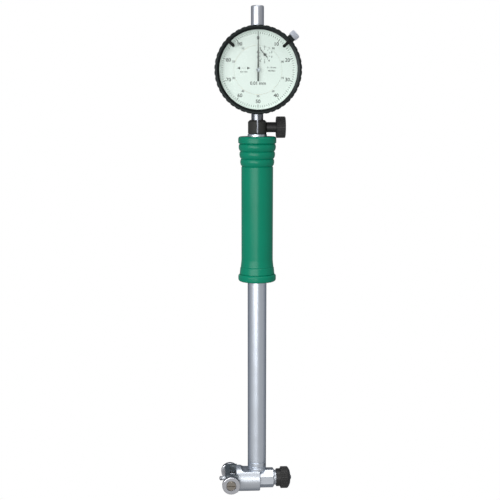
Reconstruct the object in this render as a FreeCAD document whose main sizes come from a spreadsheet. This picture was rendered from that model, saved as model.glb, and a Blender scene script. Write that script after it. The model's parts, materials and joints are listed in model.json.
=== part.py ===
"""Dial bore gauge, lying on its back with the dial up.

+X runs along the measuring axis towards the lock nut, +Y runs up the tube towards the dial, +Z points out of
the dial.  In the comments, the head line is the measuring axis (along X), the tube line is the axis of tube,
stem and plunger (along Y), and the dial line is the axis of the pointers (along Z).  All sizes are millimetres,
measured from where the head line crosses the tube line, unless a cell says otherwise.
"""

import FreeCAD, Part

import math
import os
import re

import Sketcher

SIZES = {
    "frame": {
        "head_y": (-158.55, "place of the head line, from the middle of the gauge's length"),
        "axis_z": (16.8, "height of the tube line above the table"),
    },
    "fits": {
        "running": (0.05, "radial clearance of a fit that moves"),
        "snug": (0.02, "radial clearance of a fit that stays"),
        "edge": (0.4, "chamfer on turned edges"),
    },
    "head": {
        "travel": (1.6, "stroke of the movable contact"),
        "barrel_r": (9.3, "radius of the barrel"),
        "barrel_left": (15.0, "length of the barrel left of the tube line"),
        "barrel_right": (2.0, "length of the barrel right of the tube line"),
        "flange_length": (3.4, "full round flange at the barrel's left end"),
        "octagon_flats": (13.2, "width across the octagon's flats; the barrel's flat is level with them"),
        "octagon_right": (12.0, "right end of the octagon"),
        "spigot_r": (5.25, "radius of the threaded spigot"),
        "spigot_length": (7.0, "length of the threaded spigot"),
        "crank_room": (0.2, "room between the bell crank's boss and the cavity"),
        "cavity_spare": (2.0, "room in the cavity right of the bell crank"),
        "socket_depth": (0.8, "depth of the tube's socket below the flat"),
        "socket_r": (5.0, "radius of the tube's socket"),
        "passage_r": (3.2, "radius of the passage under the push rod"),
        "bush_length": (5.0, "length of the spindle bush"),
    },
    "contact": {
        "tip_reach": (11.8, "reach of the movable contact out of the barrel"),
        "tip_r": (1.5, "radius of the contact"),
        "tip_length": (2.2, "length of the hard tip"),
        "tip_dome_r": (2.4, "radius of the domed end of the tip"),
        "spindle_r": (2.0, "radius of the spindle in its bush"),
        "shoulder_inset": (0.4, "depth of the spindle's front shoulder in its bush"),
        "keeper_r": (2.8, "radius of the collar that keeps the spindle in"),
        "keeper_length": (1.0, "length of that collar"),
        "nose_r": (0.8, "radius of the spindle's nose on the bell crank"),
        "nose_length": (2.4, "length of that nose"),
    },
    "crank": {
        "crank_arm": (4.2, "length of both arms of the bell crank"),
        "crank_ball_r": (1.0, "radius of the rounded arm ends"),
        "crank_boss_r": (1.2, "radius of the boss round the pin"),
        "crank_width": (1.2, "width of the arms"),
        "crank_thickness": (2.0, "thickness of the bell crank"),
        "crank_pin_r": (0.6, "radius of the crank pin"),
        "crank_pin_inset": (1.1, "distance of the crank pin's back end inside the barrel's radius"),
        "crank_pin_seat": (2.3, "length of the crank pin in the front wall"),
    },
    "bridge": {
        "bridge_travel": (4.3, "stroke of the centring bridge"),
        "bridge_spare": (0.1, "gap left between web and barrel at the end of the stroke"),
        "bridge_depth": (8.5, "depth of the bridge along X"),
        "bridge_web": (3.0, "thickness of the web between the arms"),
        "bridge_height": (12.4, "height of the bridge along Y"),
        "bridge_length": (24.8, "length of the bridge along Z"),
        "bridge_clear": (0.3, "gap between the barrel and the bridge's arms"),
        "bridge_round": (2.2, "radius of the bridge's left edges"),
        "contact_hole_r": (1.9, "radius of the hole round the contact"),
        "guide_spread": (14.7, "distance between the two guide pins"),
        "guide_r": (1.0, "radius of a guide pin"),
        "guide_grip": (6.4, "length of the guide pins inside the barrel"),
        "guide_spare": (0.4, "depth of a guide hole past the pin's last place"),
        "spring_pocket_gap": (0.1, "gap between a bridge spring and its pocket"),
        "spring_pocket_depth": (4.0, "depth of that pocket"),
        "bridge_wire_r": (0.15, "wire radius of the bridge springs"),
        "bridge_spring_turns": (7, "turns of the bridge springs"),
    },
    "rollers": {
        "roller_inset": (3.6, "distance of the roller axes from the bridge's left face"),
        "roller_r": (6.3, "radius of a roller"),
        "roller_hub_r": (3.2, "radius of the hub on a roller's inner side"),
        "roller_hub_length": (0.7, "length of that hub"),
        "roller_length": (4.05, "length of a roller with its hub"),
        "roller_recess_gap": (0.4, "gap between the screw head and its recess"),
        "roller_recess_depth": (0.85, "depth of that recess"),
        "roller_crown": (0.6, "rounding of the roller's rims"),
        "axle_r": (2.0, "radius of a roller screw's shoulder"),
        "axle_thread_r": (1.5, "radius of a roller screw's thread"),
        "axle_head_r": (3.3, "radius of a roller screw's head"),
        "axle_slot": (0.8, "width of the slot in a screw head"),
    },
    "anvil": {
        "anvil_bore_r": (3.5, "radius of the anvil's bore in the spigot"),
        "washer_length": (0.5, "thickness of the spacer washer"),
        "anvil_flange_r": (4.3, "radius of the anvil's flange"),
        "anvil_flange_length": (1.5, "length of the anvil's flange"),
        "anvil_nose_r": (2.2, "radius of the anvil's nose"),
        "anvil_nose_length": (3.6, "length of the anvil's nose"),
        "anvil_dome_r": (3.4, "radius of the anvil's domed end"),
        "neck_shown": (1.6, "length of spigot that shows between octagon and nut"),
        "nut_collar_r": (6.35, "radius of the nut's plain collar"),
        "nut_collar_length": (3.1, "length of the nut's plain collar"),
        "nut_r": (7.75, "radius of the nut's knurl"),
        "nut_knurl_length": (5.3, "length of the nut's knurl"),
        "nut_cone_length": (1.8, "length of the nut's curved right end"),
        "nut_face_r": (3.1, "outer radius of the nut's right face"),
        "nut_cone_r": (7.0, "radius of the curve between knurl and right face"),
        "nut_flutes": (32, "flutes of the nut's knurl"),
        "flute_r": (0.45, "radius of a knurl's flute"),
    },
    "tube": {
        "tube_r": (6.5, "outer radius of the tube"),
        "tube_bore_r": (4.2, "bore radius of the tube"),
        "ferrule_length": (6.2, "length of the ferrule from the head's flat up to the tube"),
        "tube_length": (230.3, "length of the tube"),
        "ferrule_spigot": (7.2, "length of the ferrule's spigot inside the tube"),
        "ferrule_groove": (0.25, "depth of the grooves on the ferrule"),
        "tube_socket_r": (5.25, "radius of the socket at the tube's top"),
        "tube_socket_depth": (8.0, "depth of that socket"),
        "rod_r": (1.5, "radius of the push rod"),
        "rod_spring_room": (18.0, "room for the rod spring between its collar and the upper guide"),
        "rod_collar_r": (3.0, "radius of that collar"),
        "rod_collar_length": (2.0, "length of that collar"),
        "guide_drop": (43.1, "distance of the upper rod guide's foot below the tube's top"),
        "guide_length": (6.0, "length of the upper rod guide"),
        "rod_wire_r": (0.25, "wire radius of the rod spring"),
        "rod_spring_turns": (8, "turns of the rod spring"),
    },
    "grip": {
        "tube_shown": (1.7, "length of tube that shows above the grip"),
        "grip_length": (98.5, "length of the grip"),
        "grip_r": (10.75, "radius of the plain middle of the grip"),
        "grip_foot_r": (12.95, "radius of the ring at the grip's foot"),
        "grip_foot_step_r": (11.95, "radius of the ring above it"),
        "grip_head_r": (12.85, "radius of the ring at the grip's top"),
        "ring_length": (5.0, "length of one ring of the grip"),
        "ring_groove": (0.45, "depth of the grooves between the rings"),
        "ring_round": (1.6, "rounding of the grip's ends"),
        "flare_r": (60.0, "radius of the flare above the grip's foot"),
    },
    "clamp": {
        "collar_r": (6.25, "radius of the clamp collar"),
        "collar_length": (9.2, "length of the clamp collar above the tube"),
        "collar_edge": (1.3, "chamfer at the collar's top"),
        "collar_spigot": (7.8, "length of the collar's spigot in the tube"),
        "slit_width": (1.2, "width of the collar's slit"),
        "clamp_rise": (4.4, "height of the clamp screw above the tube's top"),
        "clamp_thread_r": (1.5, "radius of the clamp screw's thread"),
        "clamp_neck_r": (3.4, "radius of the clamp screw's neck"),
        "clamp_neck_length": (6.4, "length of the clamp screw's neck"),
        "clamp_knob_r": (7.15, "radius of the clamp screw's knob"),
        "clamp_knob_length": (6.1, "length of that knob"),
        "clamp_flutes": (30, "flutes of the clamp screw's knurl"),
    },
    "case": {
        "stem_shown": (3.8, "length of stem that shows between collar and bezel"),
        "case_r": (27.3, "outer radius of the case"),
        "case_wall": (2.8, "wall of the case"),
        "case_depth": (10.4, "depth of the case's back below the tube line"),
        "cover_length": (1.6, "thickness of the back cover"),
        "cover_inset": (0.9, "distance of the back cover's edge inside the case's"),
        "cover_screw_r": (1.0, "thread radius of the cover screws"),
        "cover_screw_head_r": (1.7, "head radius of the cover screws"),
        "cover_screw_inset": (3.3, "distance of the cover screws inside the case's edge"),
        "lug_r": (1.5, "radius of the lugs that take the cover screws"),
        "case_front": (7.0, "height of the case's front rim"),
        "shelf_back": (3.8, "back of the shelf that carries the movement plate"),
        "shelf_width": (2.9, "width of that shelf"),
        "stem_r": (4.0, "radius of the stem"),
        "stem_length": (23.8, "length of the stem"),
        "cap_r": (4.3, "radius of the plunger cap"),
        "cap_length": (14.3, "length of the plunger cap outside the case"),
        "cap_round": (1.0, "rounding of the cap's top"),
        "cap_crown": (1.2, "thickness of the cap's top"),
        "plunger_r": (2.75, "radius of the plunger"),
        "plunger_out": (8.5, "reach of the plunger's point below the stem"),
        "plunger_spring_room": (8.2, "room for the plunger spring in the cap"),
        "point_length": (5.55, "length of the contact point"),
        "point_r": (2.2, "radius of the contact point"),
        "point_dome_r": (3.0, "radius of the contact point's domed end"),
        "plunger_wire_r": (0.2, "wire radius of the plunger spring"),
        "plunger_spring_turns": (6, "turns of the plunger spring"),
    },
    "movement": {
        "plate_back": (5.0, "back of the movement plate"),
        "plate_length": (1.2, "thickness of the movement plate"),
        "bridge_back": (6.2, "depth of the movement bridge's back"),
        "bridge_thickness": (1.0, "thickness of the movement bridge"),
        "bridge_disc_inset": (3.6, "distance of the movement bridge's edge inside the case's shelf"),
        "pillar_x": (14.0, "place of the movement pillars, across"),
        "pillar_y": (8.0, "place of the movement pillars, along"),
        "pillar_r": (1.5, "radius of the movement pillars"),
        "arbor_r": (0.5, "radius of the arbors"),
        "train_room": (0.8, "room between the wheels' teeth and the case's shelf"),
        "rack_pitch": (0.625, "pitch of the plunger's rack"),
        "rack_depth": (0.4, "depth of the rack's teeth"),
        "rack_mesh": (0.04, "depth at which the pinion's pitch circle meets the rack"),
        "rack_teeth": (14, "gaps of the rack"),
        "rack_pinion_teeth": (16, "teeth of the pinion on the rack"),
        "wheel_teeth": (100, "teeth of the two large wheels"),
        "centre_teeth": (10, "teeth of the centre pinion"),
        "pinion_half": (1.2, "half the length of the rack pinion"),
        "wheel_back": (3.5, "back of the large wheels"),
        "wheel_thickness": (0.6, "thickness of the large wheels"),
        "centre_back": (3.3, "back of the centre pinion"),
        "centre_length": (1.1, "length of the centre pinion"),
        "hairspring_back": (4.6, "depth of the hairspring's back"),
        "hairspring_width": (0.7, "width of the hairspring"),
        "hairspring_wire": (0.16, "thickness of the hairspring"),
        "hairspring_r": (0.75, "radius where the hairspring starts"),
        "hairspring_pitch": (0.9, "growth of the hairspring's radius each turn"),
        "hairspring_turns": (4, "turns of the hairspring"),
    },
    "dial": {
        "dial_back": (7.4, "back of the dial discs"),
        "dial_thickness": (0.6, "thickness of the dial discs"),
        "scale_width": (8.6, "width of the ring that carries the scale"),
        "dial_inset": (1.4, "distance of the dial's edge inside the case's"),
        "rim_foot": (1.5, "width of the dial's raised rim at its foot"),
        "rim_wall": (0.4, "width of the dial's raised rim at its top"),
        "rim_height": (2.9, "height of the dial's raised rim above the face"),
        "crystal_thickness": (1.2, "thickness of the crystal"),
        "turns_hand_back": (8.6, "back of the small pointer"),
        "hand_thickness": (0.25, "thickness of the pointers"),
        "turns_hand_reach": (4.3, "reach of the small pointer"),
        "turns_hand_tail": (2.7, "tail of the small pointer"),
        "turns_hand_angle": (132.0, "direction of the small pointer from +X"),
        "main_hand_back": (9.5, "back of the large pointer"),
        "hand_tip_gap": (1.0, "distance of the large pointer's tip inside the bezel's lip"),
        "main_hand_tail": (7.3, "tail of the large pointer"),
        "main_hand_width": (1.05, "width of the large pointer at its hub"),
        "hand_point": (0.3, "width of a pointer's tip"),
        "hand_hub_r": (1.3, "radius of the large pointer's hub"),
        "turns_hub_r": (0.9, "radius of the small pointer's hub"),
    },
    "bezel": {
        "bezel_wall": (1.35, "wall of the bezel round the case"),
        "bezel_back": (4.5, "back of the bezel"),
        "bezel_lip": (0.8, "thickness of the bezel over the crystal"),
        "bezel_lip_overlap": (0.3, "reach of the bezel's lip over the crystal"),
        "bezel_bevel": (0.4, "fall of the bezel's inner bevel"),
        "bezel_flat": (1.6, "width of the bezel's flat front and rounded edge"),
        "bezel_edge": (0.7, "rounding of the bezel's front edge"),
        "scallops": (44, "scallops of the bezel's edge"),
        "scallop_r": (1.9, "radius of a scallop"),
        "scallop_depth": (0.35, "depth of a scallop"),
        "marker_angle_left": (137.0, "direction of the left limit marker from +X"),
        "marker_angle_right": (42.0, "direction of the right limit marker from +X"),
        "marker_length": (6.5, "length of a marker"),
        "marker_width": (2.0, "width of a marker"),
        "marker_thickness": (0.6, "thickness of a marker"),
    },
    "lock": {
        "lock_angle": (43.0, "direction of the bezel lock from +X"),
        "lock_rise": (2.0, "height of the lock screw above the bezel's back"),
        "lock_foot_back": (0.5, "back of the lock's lug"),
        "lock_gap": (0.3, "gap between bezel and lug"),
        "lock_upright": (1.7, "thickness of the lug's upright"),
        "lock_width": (5.0, "width of the lug"),
        "lock_top": (9.0, "top of the lug"),
        "lock_thread_r": (1.2, "radius of the lock screw's thread"),
        "lock_knob_r": (3.15, "radius of the lock screw's knob"),
        "lock_knob_length": (3.7, "length of the lock screw's knob"),
        "lock_flutes": (20, "flutes of the lock screw's knurl"),
    },
}

PLACES = {  # worked out from the sizes, in the order of the chain from the head up to the dial
    "half_octagon": "octagon_flats / 2",
    "spigot_right": "octagon_right + spigot_length",
    "nut_left": "octagon_right + neck_shown",
    "nut_knurl": "nut_left + nut_collar_length",
    "nut_knurl_end": "nut_knurl + nut_knurl_length",
    "nut_right": "nut_knurl_end + nut_cone_length",
    "anvil_flange": "spigot_right + washer_length",
    "anvil_nose": "anvil_flange + anvil_flange_length",
    "anvil_right": "anvil_nose + anvil_nose_length",
    "cavity_r": "crank_arm + crank_boss_r + crank_room",
    "cavity_right": "crank_ball_r + cavity_spare",
    "socket_floor": "half_octagon - socket_depth",
    "bush_right": "-barrel_left + bush_length",
    "nose_end": "-crank_arm - crank_ball_r - running",
    "tip_left": "barrel_left + tip_reach",
    "web_right": "-barrel_left - bridge_travel - bridge_spare",
    "bridge_left": "bridge_web - web_right",
    "bridge_right": "bridge_left - bridge_depth",
    "bridge_inside": "2 * (barrel_r + bridge_clear)",
    "guide_foot": "-bridge_left + bridge_web / 3",
    "guide_end": "barrel_left - guide_grip",
    "guide_coil_r": "guide_r + running + bridge_wire_r",
    "spring_pocket_r": "guide_coil_r + bridge_wire_r + spring_pocket_gap",
    "roller_x": "bridge_left - roller_inset",
    "roller_recess_r": "axle_head_r + roller_recess_gap",
    "ferrule_top": "half_octagon + ferrule_length",
    "tube_top": "ferrule_top + tube_length",
    "grip_top": "tube_top - tube_shown",
    "grip_low": "grip_top - grip_length",
    "collar_top": "tube_top + collar_length",
    "clamp_y": "tube_top + clamp_rise",
    "clamp_neck_end": "collar_r + running + clamp_neck_length",
    "bezel_r": "case_r + running + bezel_wall",
    "dial_y": "collar_top + stem_shown + bezel_r",
    "case_inside": "case_r - case_wall",
    "shelf_r": "case_inside - shelf_width",
    "arbor_ring": "(shelf_r - train_room) * (wheel_teeth + centre_teeth) / (2 * wheel_teeth + centre_teeth + 2)",
    "sub_x": "plunger_r - rack_mesh + rack_pinion_teeth * rack_pitch / (2 * pi)",
    "sub_y": "sqrt(arbor_ring ^ 2 - sub_x ^ 2)",
    "bridge_disc_r": "shelf_r - bridge_disc_inset",
    "cover_back": "case_depth + cover_length",
    "cover_r": "case_r - cover_inset",
    "cover_screw_ring": "case_r - cover_screw_inset",
    "stem_top": "dial_y - case_inside",
    "stem_low": "stem_top - stem_length",
    "rod_top": "stem_low - plunger_out",
    "guide_low": "tube_top - guide_drop",
    "rod_collar": "guide_low - rod_spring_room - rod_collar_length",
    "cap_top": "dial_y + case_r + cap_length",
    "cap_bore_top": "cap_top - cap_crown",
    "plunger_low": "rod_top + running + point_length",
    "plunger_top": "cap_bore_top - plunger_spring_room",
    "plate_front": "plate_back + plate_length",
    "dial_front": "dial_back + dial_thickness",
    "dial_r": "case_r - dial_inset",
    "rehaut_foot_r": "dial_r - rim_foot",
    "centre_dial_r": "rehaut_foot_r - scale_width",
    "rehaut_top_r": "dial_r - rim_wall",
    "rehaut_top": "dial_front + rim_height",
    "crystal_back": "rehaut_top + running",
    "crystal_front": "crystal_back + crystal_thickness",
    "bezel_front": "crystal_front + running + bezel_lip",
    "bezel_lip_r": "dial_r - bezel_lip_overlap",
    "main_hand_reach": "bezel_lip_r - hand_tip_gap",
    "bezel_lip_front": "bezel_front - bezel_bevel",
    "bezel_bevel_r": "bezel_r - bezel_flat",
    "marker_outer": "bezel_r - bezel_edge",
    "marker_tip": "marker_outer - marker_length",
    "lock_inner": "bezel_r + lock_gap",
    "lock_outer": "lock_inner + lock_upright",
    "lock_z": "bezel_back + lock_rise",
    "lock_knob": "lock_outer + 2 * running",
    "lock_knob_end": "lock_knob + lock_knob_length",
}

AXES = {  # the origin plane square to each axis, and whether its normal runs along or against that axis
    "X": ("YZ_Plane", 1),
    "Y": ("XZ_Plane", -1),
    "Z": ("XY_Plane", 1),
}
ABOUT_X = FreeCAD.Rotation(FreeCAD.Vector(1, 0, 0), 180)
FULL_TURN = 360.0
WIRE_FLATS = 8  # sides of a spring wire's section

document = FreeCAD.newDocument("DialBoreGauge")
sheet = document.addObject("Spreadsheet::Sheet", "Sizes")
aliases = set()
parts = []


def fill_sheet():
    """Write every driving size into the spreadsheet, one row each."""
    row = 1
    for group, cells in SIZES.items():
        sheet.set(f"A{row}", group)
        row += 1
        for alias, (size, note) in cells.items():
            sheet.set(f"A{row}", note)
            sheet.set(f"B{row}", str(size))
            sheet.setAlias(f"B{row}", alias)
            aliases.add(alias)
            row += 1
    document.recompute()


def bound(text):
    """Turn a formula of sizes and places into an expression on the spreadsheet."""

    def spelled(word):
        if word[0] in PLACES:
            return f"({bound(PLACES[word[0]])})"
        return f"Sizes.{word[0]}" if word[0] in aliases else word[0]

    return re.sub(r"[a-z_]+", spelled, text)


def value(text):
    """The number that a formula of cell names stands for now."""
    result = sheet.evalExpression(bound(text))
    return float(getattr(result, "Value", result))


# ---------------------------------------------------------------- sketches


def new_sketch(body, plane, offset="0"):
    """An empty sketch on one of the body's origin planes, shifted along the plane's normal."""
    sketch = body.newObject("Sketcher::SketchObject", body.Name + "_sketch")
    support = next(feature for feature in body.Origin.OriginFeatures if feature.Role == plane)
    sketch.AttachmentSupport = [(support, "")]
    sketch.MapMode = "FlatFace"
    sketch.setExpression("AttachmentOffset.Base.z", bound(offset))
    return sketch


def constrain(sketch, constraint, formula):
    """Add a constraint and bind its size to a formula."""
    index = sketch.addConstraint(constraint)
    sketch.setExpression(f"Constraints[{index}]", bound(formula))


def pin_point(sketch, geometry, end, across, along):
    """Fix one point of a curve at two formulas from the sketch's origin."""
    for kind, formula in (("DistanceX", across), ("DistanceY", along)):
        constrain(sketch, Sketcher.Constraint(kind, -1, 1, geometry, end, value(formula)), formula)


def arc_between(start, finish, radius):
    """An arc that bulges to the right of its travel, or to the left for a negative radius."""
    run = finish - start
    half = run.Length / 2
    sagitta = abs(radius) - math.sqrt(radius * radius - half * half)
    right = FreeCAD.Vector(run.y, -run.x, 0).normalize()
    middle = (start + finish) / 2 + right * math.copysign(sagitta, radius)
    return Part.Arc(start, middle, finish) if radius > 0 else Part.Arc(finish, middle, start)


def outline(points):
    """Draw a closed outline, taken anticlockwise.

    Each point is (across, along), or (across, along, radius) where an arc leaves it: the arc bulges out of the
    outline, or into it where the radius starts with a minus sign.
    """

    def draw(sketch):
        corners = [FreeCAD.Vector(value(point[0]), value(point[1]), 0) for point in points]
        ends = []
        for index, point in enumerate(points):
            start, finish = corners[index], corners[(index + 1) % len(corners)]
            if len(point) == 2:
                ends.append((sketch.addGeometry(Part.LineSegment(start, finish)), 1, 2))
            else:
                hollow = value(point[2]) < 0
                arc = sketch.addGeometry(arc_between(start, finish, value(point[2])))
                ends.append((arc, 2, 1) if hollow else (arc, 1, 2))
        for index, point in enumerate(points):
            curve, first, last = ends[index]
            following, next_first, _ = ends[(index + 1) % len(ends)]
            sketch.addConstraint(Sketcher.Constraint("Coincident", curve, last, following, next_first))
            pin_point(sketch, curve, first, point[0], point[1])
            if len(point) == 3:
                radius = point[2].lstrip("-")
                constrain(sketch, Sketcher.Constraint("Radius", curve, value(radius)), radius)

    return draw


def disc(radius, across="0", along="0"):
    """Draw a circle."""

    def draw(sketch):
        place = FreeCAD.Vector(value(across), value(along), 0)
        circle = sketch.addGeometry(Part.Circle(place, FreeCAD.Vector(0, 0, 1), value(radius)))
        pin_point(sketch, circle, 3, across, along)
        constrain(sketch, Sketcher.Constraint("Radius", circle, value(radius)), radius)

    return draw


def rectangle(left, right, low, high):
    """Draw a rectangle between four formulas."""
    return outline([(left, low), (right, low), (right, high), (left, high)])


# ---------------------------------------------------------------- features


def new_body(name):
    """A body of its own, labelled with the name of the piece."""
    body = document.addObject("PartDesign::Body", name)
    body.Label = name
    return body


def turned(body, axis, profile, cut=False):
    """Revolve a profile of (radius, station) points about one of the body's axes, or cut it out."""
    if axis == "X":
        points = [(station, radius, *arc) for radius, station, *arc in reversed(shift_arcs(profile))]
    else:
        points = profile
    sketch = new_sketch(body, "XZ_Plane" if axis == "Z" else "XY_Plane")
    outline(points)(sketch)
    feature = body.newObject("PartDesign::Groove" if cut else "PartDesign::Revolution", body.Name + "_turned")
    feature.Profile = sketch
    feature.ReferenceAxis = (sketch, ["H_Axis" if axis == "X" else "V_Axis"])
    feature.Angle = FULL_TURN
    return feature


def shift_arcs(profile):
    """Move each arc's radius to the arc's far end, for an outline that is taken backwards."""
    plain = [point[:2] for point in profile]
    radii = [point[2:] for point in profile]
    return [point + radius for point, radius in zip(plain, radii[-1:] + radii[:-1])]


def padded(body, axis, draw, low, high):
    """Extrude a drawing along an axis, between two stations on it."""
    plane, direction = AXES[axis]
    sketch = new_sketch(body, plane, low if direction > 0 else f"-({high})")
    draw(sketch)
    pad = body.newObject("PartDesign::Pad", body.Name + "_pad")
    pad.Profile = sketch
    pad.setExpression("Length", bound(f"({high}) - ({low})"))
    return pad


def pocketed(body, axis, draw, low, high):
    """Cut a drawing out along an axis, between two stations on it."""
    plane, direction = AXES[axis]
    sketch = new_sketch(body, plane, high if direction > 0 else f"-({low})")
    draw(sketch)
    pocket = body.newObject("PartDesign::Pocket", body.Name + "_pocket")
    pocket.Profile = sketch
    pocket.setExpression("Length", bound(f"({high}) - ({low})"))
    return pocket


def repeated_round(body, feature, axis, count):
    """Repeat a feature round one of the body's axes."""
    document.recompute()
    pattern = body.newObject("PartDesign::PolarPattern", body.Name + "_pattern")
    pattern.Originals = [feature]
    role = f"{axis}_Axis"
    pattern.Axis = (next(line for line in body.Origin.OriginFeatures if line.Role == role), [""])
    pattern.Angle = FULL_TURN
    pattern.setExpression("Occurrences", bound(count))
    body.Tip = pattern
    return pattern


def fluted(body, axis, radius, low, high, count):
    """Cut the flutes of a straight knurl into a round surface."""
    groove = pocketed(body, axis, disc("flute_r", radius, "0"), low, high)
    repeated_round(body, groove, axis, count)


def placed(piece, across="0", along="0", up="0", turn=None, direction=None):
    """Put a piece in the gauge, at formulas from where the head line crosses the tube line.

    turn is a fixed rotation; direction is a formula for an angle about Z.
    """
    if direction is not None:
        turn = FreeCAD.Rotation(FreeCAD.Vector(0, 0, 1), value(direction))
    if turn is not None:
        piece.Placement = FreeCAD.Placement(FreeCAD.Vector(), turn)
    if direction is not None:
        piece.setExpression("Placement.Rotation.Angle", bound(direction))
    piece.setExpression("Placement.Base.x", bound(across))
    piece.setExpression("Placement.Base.y", bound(f"head_y + ({along})"))
    piece.setExpression("Placement.Base.z", bound(f"axis_z + ({up})"))
    return piece


def kept(piece):
    """Hand a finished piece in as a node of its own."""
    parts.append(piece)
    return piece


def turned_piece(name, axis, profile, **place):
    """A piece that is one turned profile."""
    body = new_body(name)
    turned(body, axis, profile)
    return placed(body, **place)


def grouped(name, pieces):
    """Several like solids that share one node."""
    group = document.addObject("Part::Compound", name)
    group.Label = name
    group.Links = pieces
    return kept(group)


def tube_profile(bore, outer, low, high):
    """The profile of a plain ring or tube."""
    return [(bore, low), (outer, low), (outer, high), (bore, high)]


def bore_profile(radius, low, high):
    """The profile of a plain round bore."""
    return [("0", low), (radius, low), (radius, high), ("0", high)]


def rod_profile(radius, low, high):
    """The profile of a plain rod with chamfered ends."""
    inner = f"{radius} - edge / 2"
    return [
        ("0", low),
        (inner, low),
        (radius, f"{low} + edge / 2"),
        (radius, f"{high} - edge / 2"),
        (inner, high),
        ("0", high),
    ]


def coil(name, radius, wire, length, turns, turn, **place):
    """A coil spring that starts at its own origin and runs along its own Z axis."""
    helix = document.addObject("Part::Helix", name + "_path")
    helix.setExpression("Radius", bound(radius))
    helix.setExpression("Height", bound(length))
    helix.setExpression("Pitch", bound(f"({length}) / {turns}"))
    section = document.addObject("Part::RegularPolygon", name + "_section")
    section.Polygon = WIRE_FLATS
    section.setExpression("Circumradius", bound(wire))
    section.Placement = FreeCAD.Placement(
        FreeCAD.Vector(), FreeCAD.Rotation(FreeCAD.Vector(1, 0, 0), 90)
    )
    section.setExpression("Placement.Base.x", bound(radius))
    spring = document.addObject("Part::Sweep", name)
    spring.Label = name
    spring.Sections = [section]
    spring.Spine = (helix, [])
    spring.Solid = True
    spring.Frenet = True
    return placed(spring, turn=turn, **place)


# ---------------------------------------------------------------- measuring head


def head_body():
    """Barrel with its milled flat, octagon and threaded spigot, bored for spindle, crank, tube and anvil."""
    head = new_body("head_body")
    barrel_end = "barrel_r - edge"
    turned(
        head,
        "X",
        [
            ("0", "-barrel_left"),
            (barrel_end, "-barrel_left"),
            ("barrel_r", "-barrel_left + edge"),
            ("barrel_r", "barrel_right - edge"),
            (barrel_end, "barrel_right"),
            ("spigot_r", "barrel_right"),
            ("spigot_r", "spigot_right - edge"),
            ("spigot_r - edge", "spigot_right"),
            ("0", "spigot_right"),
        ],
    )
    half = "half_octagon"
    side = f"{half} * tan(22.5)"
    corners = [(half, f"-{side}"), (half, side), (side, half), (f"-{side}", half)]
    corners += [(f"-{half}", side), (f"-{half}", f"-{side}"), (f"-{side}", f"-{half}"), (side, f"-{half}")]
    padded(head, "X", outline(corners), "0", "octagon_right")
    chamfer_r = f"{half} / cos(22.5)"
    turned(
        head,
        "X",
        [
            (f"{half} - edge", "octagon_right + edge"),
            (f"{half} - edge", "octagon_right"),
            (f"{chamfer_r} + edge", "octagon_right - 2.5 * edge"),
            (f"{chamfer_r} + edge", "octagon_right + edge"),
        ],
        cut=True,
    )
    cutter = "(barrel_r - half_octagon)"
    run_out = "-barrel_left + flange_length"
    flat = [
        (run_out, "barrel_r + edge"),
        (run_out, "barrel_r", cutter),
        (f"{run_out} + {cutter}", half),
        ("barrel_right + edge", half),
        ("barrel_right + edge", "barrel_r + edge"),
    ]
    pocketed(head, "Z", outline(flat), "-barrel_r - edge", "barrel_r + edge")
    turned(head, "X", bore_profile("cavity_r", "-barrel_left - edge", "cavity_right"), cut=True)
    turned(head, "X", bore_profile("anvil_bore_r", "octagon_right", "spigot_right + edge"), cut=True)
    pocketed(head, "Y", disc("socket_r + snug"), "socket_floor", "barrel_r")
    pocketed(head, "Y", disc("passage_r"), "0", "socket_floor + edge")
    pin_hole = disc("crank_pin_r + snug", "-crank_arm", "crank_arm")
    pocketed(head, "Z", pin_hole, "-barrel_r", f"{crank_pin_front()} + edge")
    for side in ("", "-"):
        where = f"{side}guide_spread / 2"
        guide_floor = "-(guide_end - bridge_travel - guide_spare)"
        pocketed(head, "X", disc("guide_r + running", "0", where), "-barrel_left - edge", guide_floor)
        pocket_floor = "-barrel_left + spring_pocket_depth"
        pocketed(head, "X", disc("spring_pocket_r", "0", where), "-barrel_left - edge", pocket_floor)
    return kept(placed(head))


def crank_pin_front():
    """Front end of the crank pin, in the wall before the cavity."""
    return "sqrt(cavity_r ^ 2 - crank_arm ^ 2) + crank_pin_seat"


def spindle_bush():
    """Bronze bush that guides the contact spindle, pressed into the barrel's left end."""
    ring = tube_profile("spindle_r + running", "cavity_r - snug", "-barrel_left", "bush_right")
    return kept(turned_piece("spindle_bush", "X", ring))


def contact_spindle():
    """Spindle with its thin front, its keeper collar and a flat nose on the bell crank."""
    tip_foot = "-tip_left + tip_length"
    keeper = "bush_right + snug"
    profile = [
        ("0", tip_foot),
        ("tip_r", tip_foot),
        ("tip_r", "-barrel_left + shoulder_inset"),
        ("spindle_r", "-barrel_left + shoulder_inset"),
        ("spindle_r", keeper),
        ("keeper_r", keeper),
        ("keeper_r", f"{keeper} + keeper_length"),
        ("spindle_r", f"{keeper} + keeper_length"),
        ("spindle_r", "nose_end - nose_length"),
        ("nose_r", "nose_end - nose_length"),
        ("nose_r", "nose_end"),
        ("0", "nose_end"),
    ]
    return kept(turned_piece("contact_spindle", "X", profile))


def contact_tip():
    """Hard tip with a domed end."""
    dome = "tip_dome_r - sqrt(tip_dome_r ^ 2 - tip_r ^ 2)"
    profile = [
        ("0", "-tip_left", "tip_dome_r"),
        ("tip_r", f"-tip_left + {dome}"),
        ("tip_r", "-tip_left + tip_length"),
        ("0", "-tip_left + tip_length"),
    ]
    return kept(turned_piece("contact_tip", "X", profile))


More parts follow.
